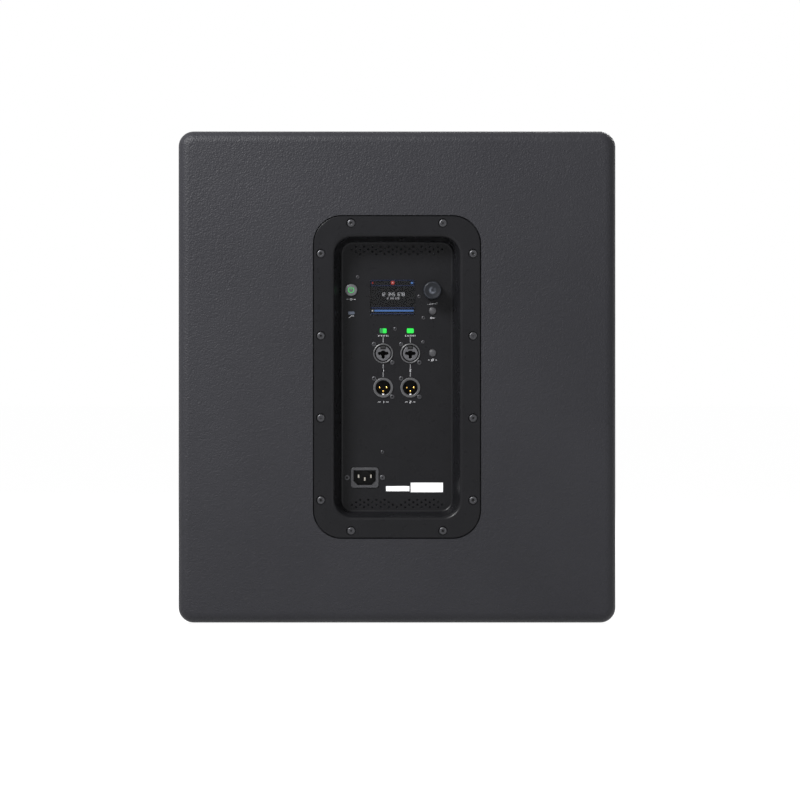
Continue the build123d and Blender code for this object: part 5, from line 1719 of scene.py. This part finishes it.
# ---------------------------------------------------------------- grille
@dataclass
class Grille:
    """The perforated front sheet with its folded rim, and the foam behind it."""

    pitch: float = 8.0 * MM
    hole: float = 6.7 * MM
    sheet: float = 1.5 * MM
    rim: float = 9.0 * MM
    corner: float = 8.0 * MM

    def __post_init__(self) -> None:
        """Reads the grille's place from its CAD node."""
        self.low, self.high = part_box("front_grille")
        self.centre = (self.low + self.high) / 2
        self.width = self.high.x - self.low.x
        self.height = self.high.z - self.low.z

    def lattice(self) -> None:
        """Six-sided holes in staggered rows."""
        points: list[Vector] = []
        found: dict[tuple[int, int, int], int] = {}
        faces = []

        def index_of(x: float, y: float, z: float) -> int:
            """The index of a point, added when it is new.

            Args:
                x: Its x.
                y: Its y.
                z: Its z.

            Returns:
                The index.
            """
            key = (round(x / MM * 100), round(y / MM * 100), round(z / MM * 100))
            if key not in found:
                found[key] = len(points)
                points.append(Vector((x, y, z)))
            return found[key]

        front = self.low.y + 0.1 * MM
        back = front + self.sheet - 0.1 * MM
        row_pitch = self.pitch * math.sqrt(3) / 2
        reach_x = self.width / 2 - 4.0 * MM
        reach_z = self.height / 2 - 4.0 * MM
        rows = int(reach_z / row_pitch)
        columns = int(reach_x / self.pitch)
        cell = self.pitch / math.sqrt(3)
        ratio = self.hole / self.pitch
        corners = [(math.cos(math.radians(60 * k + 30)), math.sin(math.radians(60 * k + 30))) for k in range(6)]
        for row in range(-rows, rows + 1):
            shift = self.pitch / 2 if row % 2 else 0.0
            for column in range(-columns, columns + (0 if row % 2 else 1)):
                x = self.centre.x + column * self.pitch + shift
                z = self.centre.z + row * row_pitch
                outer_front = [index_of(x + u * cell, front, z + v * cell) for u, v in corners]
                outer_back = [index_of(x + u * cell, back, z + v * cell) for u, v in corners]
                inner_front = [index_of(x + u * cell * ratio, front, z + v * cell * ratio) for u, v in corners]
                inner_back = [index_of(x + u * cell * ratio, back, z + v * cell * ratio) for u, v in corners]
                for k in range(6):
                    n = (k + 1) % 6
                    faces.append([outer_front[k], outer_front[n], inner_front[n], inner_front[k]])
                    faces.append([inner_front[k], inner_front[n], inner_back[n], inner_back[k]])
                    faces.append([inner_back[k], inner_back[n], outer_back[n], outer_back[k]])
        shape = Shape()
        shape.add(points, faces)
        settle(shape.object("grille_lattice"), [GRILLE_PAINT], ["front_grille"])

    def folded_rim(self) -> None:
        """The plain border, folded back to the baffle, with a flat seat round each screw."""
        front = self.low.y
        back = self.high.y
        x, z = self.centre.x, self.centre.z
        rings = [rounded(x, z, self.width - 2 * self.sheet, self.height - 2 * self.sheet,
                         self.corner - self.sheet, back),
                 rounded(x, z, self.width, self.height, self.corner, back)]
        fold = 2.5 * MM
        for turn in range(6):
            angle = turn / 5 * math.pi / 2
            inset = fold * (1 - math.cos(angle))
            depth = front + fold * (1 - math.sin(angle))
            rings.append(rounded(x, z, self.width - 2 * inset, self.height - 2 * inset, self.corner - inset * 0.6,
                                 depth))
        inner = self.rim
        for depth in (front, front + self.sheet):
            rings.append(rounded(x, z, self.width - 2 * inner, self.height - 2 * inner, 5 * MM, depth))
        rings.append(rounded(x, z, self.width - 2 * self.sheet - 2 * MM, self.height - 2 * self.sheet - 2 * MM,
                             self.corner - self.sheet, front + self.sheet))
        rings.append(rounded(x, z, self.width - 2 * self.sheet, self.height - 2 * self.sheet,
                             self.corner - self.sheet, front + self.sheet + 1.0 * MM))
        shape = Shape()
        shape.loft(rings, looped=True)
        for low, high in solids("grille_screws"):
            spot = (low + high) / 2
            shape.lathe([(2.6 * MM, front + self.sheet), (8.0 * MM, front + self.sheet), (8.0 * MM, front + 0.3 * MM),
                         (7.6 * MM, front), (2.6 * MM, front)], spot.x, spot.z, 36, looped=True)
        settle(shape.object("grille_rim"), [GRILLE_PAINT], [])
        ScrewSet("grille_screws", 1.8 * MM, "black_screw_steel", shank_share=0.42).build()

    def foam(self) -> None:
        """A foam sheet whose face swells a little between its screws."""
        low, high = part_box("grille_foam")
        columns, rows = 60, 68
        size = high - low
        front, back = [], []
        for row in range(rows + 1):
            for column in range(columns + 1):
                u, v = column / columns, row / rows
                x = low.x + u * size.x
                z = low.z + v * size.z
                dent = 0.35 * MM * (1 + math.sin(x * 61 + 2 * math.sin(z * 23))
                                    * math.cos(z * 53 + math.sin(x * 31)))
                front.append(Vector((x, low.y + dent, z)))
                back.append(Vector((x, high.y - dent * 0.5, z)))
        total = len(front)
        line = columns + 1
        faces = [[row * line + column, row * line + column + 1, (row + 1) * line + column + 1,
                  (row + 1) * line + column] for row in range(rows) for column in range(columns)]
        rear = [[index + total for index in face[::-1]] for face in faces]
        edge = [column for column in range(columns)] + [row * line + columns for row in range(rows)]
        edge += [rows * line + columns - column for column in range(columns)]
        edge += [(rows - row) * line for row in range(rows)]
        sides = [[a, b, b + total, a + total] for a, b in zip(edge, edge[1:] + edge[:1])]
        shape = Shape()
        shape.add(front + back, faces + rear + sides)
        piece = shape.object("grille_foam_sheet")
        holes = Shape()
        for low_screw, high_screw in solids("grille_screws"):
            spot = (low_screw + high_screw) / 2
            holes.lathe([(4.0 * MM, low.y - 2 * MM), (4.0 * MM, high.y + 2 * MM)], spot.x, spot.z, 20)
        carve(piece, holes)
        settle(piece, [FOAM], ["grille_foam"])

    def build(self) -> None:
        """Builds the grille and its foam."""
        self.lattice()
        self.folded_rim()
        self.foam()


# ---------------------------------------------------------------- woofer
@dataclass
class Woofer:
    """The fifteen-inch driver, with a roll surround and a corrugated spider."""

    roll: float = 9.6 * MM
    skin: float = 0.7 * MM
    waves: int = 5
    wave_height: float = 1.2 * MM
    cup: float = 7.0 * MM

    def surround_half(self, inner: bool) -> None:
        """Half of the roll, from its lip to its crest.

        Args:
            inner: Whether it is the half glued to the cone.
        """
        low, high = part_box("cone_surround")
        centre = (low + high) / 2
        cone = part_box("woofer_cone")
        flange_radius = (high.x - low.x) / 2
        rim_radius = (cone[1].x - cone[0].x) / 2 - 6.0 * MM
        crest_radius = (161.5) * MM
        glue_y = low.y + self.roll + 1.2 * MM
        edge_radius = rim_radius if inner else flange_radius
        side = -1 if inner else 1
        over, under = [(edge_radius, glue_y - 0.05 * MM)], [(edge_radius, glue_y + self.skin)]
        steps = 14
        for step in range(steps + 1):
            angle = step / steps * math.pi / 2
            reach, rise = math.cos(angle), math.sin(angle)
            over.append((crest_radius + side * (self.roll + self.skin) * reach, glue_y - (self.roll + 1.1 * MM) * rise))
            under.append((crest_radius + side * self.roll * reach, glue_y + self.skin - (self.roll + 1.1 * MM) * rise))
        shape = Shape()
        shape.lathe(over + under[::-1], centre.x, centre.z, 144, looped=True)
        name = "surround_inner" if inner else "surround_outer"
        piece = shape.object(name)
        piece.data.materials.append(SURROUND.make())
        if inner:
            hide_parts("cone_surround")
        crest_y = glue_y - self.roll
        start = Vector((0, glue_y, 0))
        end = Vector((0, glue_y + 2 * (crest_y - glue_y), 0))
        if inner:
            start, end = end, start
        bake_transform(piece)
        log.info("%s: %d faces", piece.name, len(piece.data.polygons))

    def spider(self) -> None:
        """A cupped, corrugated ring from the basket's shelf to the coil's neck."""
        low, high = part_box("spider")
        centre = (low + high) / 2
        outer = (high.x - low.x) / 2
        inner = 38.8 * MM
        steps = 60
        over, under = [], []
        for step in range(steps + 1):
            share = step / steps
            radius = outer + (inner - outer) * share
            fade = min(share, 1 - share, 0.15) / 0.15
            y = high.y - self.skin - self.cup * share ** 1.2 - self.wave_height * fade * math.sin(
                share * self.waves * math.tau)
            over.append((radius, y))
            under.append((radius, y + self.skin))
        shape = Shape()
        shape.lathe(over + under[::-1], centre.x, centre.z, 96, looped=True)
        piece = shape.object("spider_corrugated")
        piece.data.materials.append(SPIDER.make())
        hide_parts("spider")
        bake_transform(piece)
        log.info("%s: %d faces", piece.name, len(piece.data.polygons))

    def build(self) -> None:
        """Builds and dresses the driver."""
        self.surround_half(True)
        self.surround_half(False)
        self.spider()
        for node, finish in (("woofer_cone", PAPER), ("dust_cap", PAPER), ("voice_coil", COPPER),
                             ("motor_magnet", FERRITE), ("motor_steel", MOTOR_STEEL),
                             ("woofer_gasket", GASKET), ("woofer_terminals", SWITCH), ("speaker_leads", LEAD)):
            dress(node, finish)
        eased("woofer_basket", 0.5 * MM, BASKET_PAINT)
        ScrewSet("woofer_screws", 2.6 * MM, "black_screw_steel").build()


# ---------------------------------------------------------------- inside
@dataclass
class Inside:
    """What the cabinet holds behind the panel, and its lining."""

    def build(self) -> None:
        """Dresses the boards, the supply, the cover and the lining."""
        for node, finish in (("amp_cover", GALVANISED), ("control_board", BOARD), ("power_board", BOARD),
                             ("heat_sink", SINK), ("supply_parts", SLEEVES), ("acoustic_lining", FELT)):
            dress(node, finish)


def main() -> None:
    """Builds every part in order."""
    logging.basicConfig(level=logging.INFO, format="%(name)s: %(message)s")
    Studio().build()
    CabinetShell().build()
    AmpTray().build()
    DisplayUnit().build()
    Controls().build()
    Connectors().build()
    PanelPrint().build()
    Grille().build()
    Woofer().build()
    Inside().build()


if __name__ == "__main__":
    main()
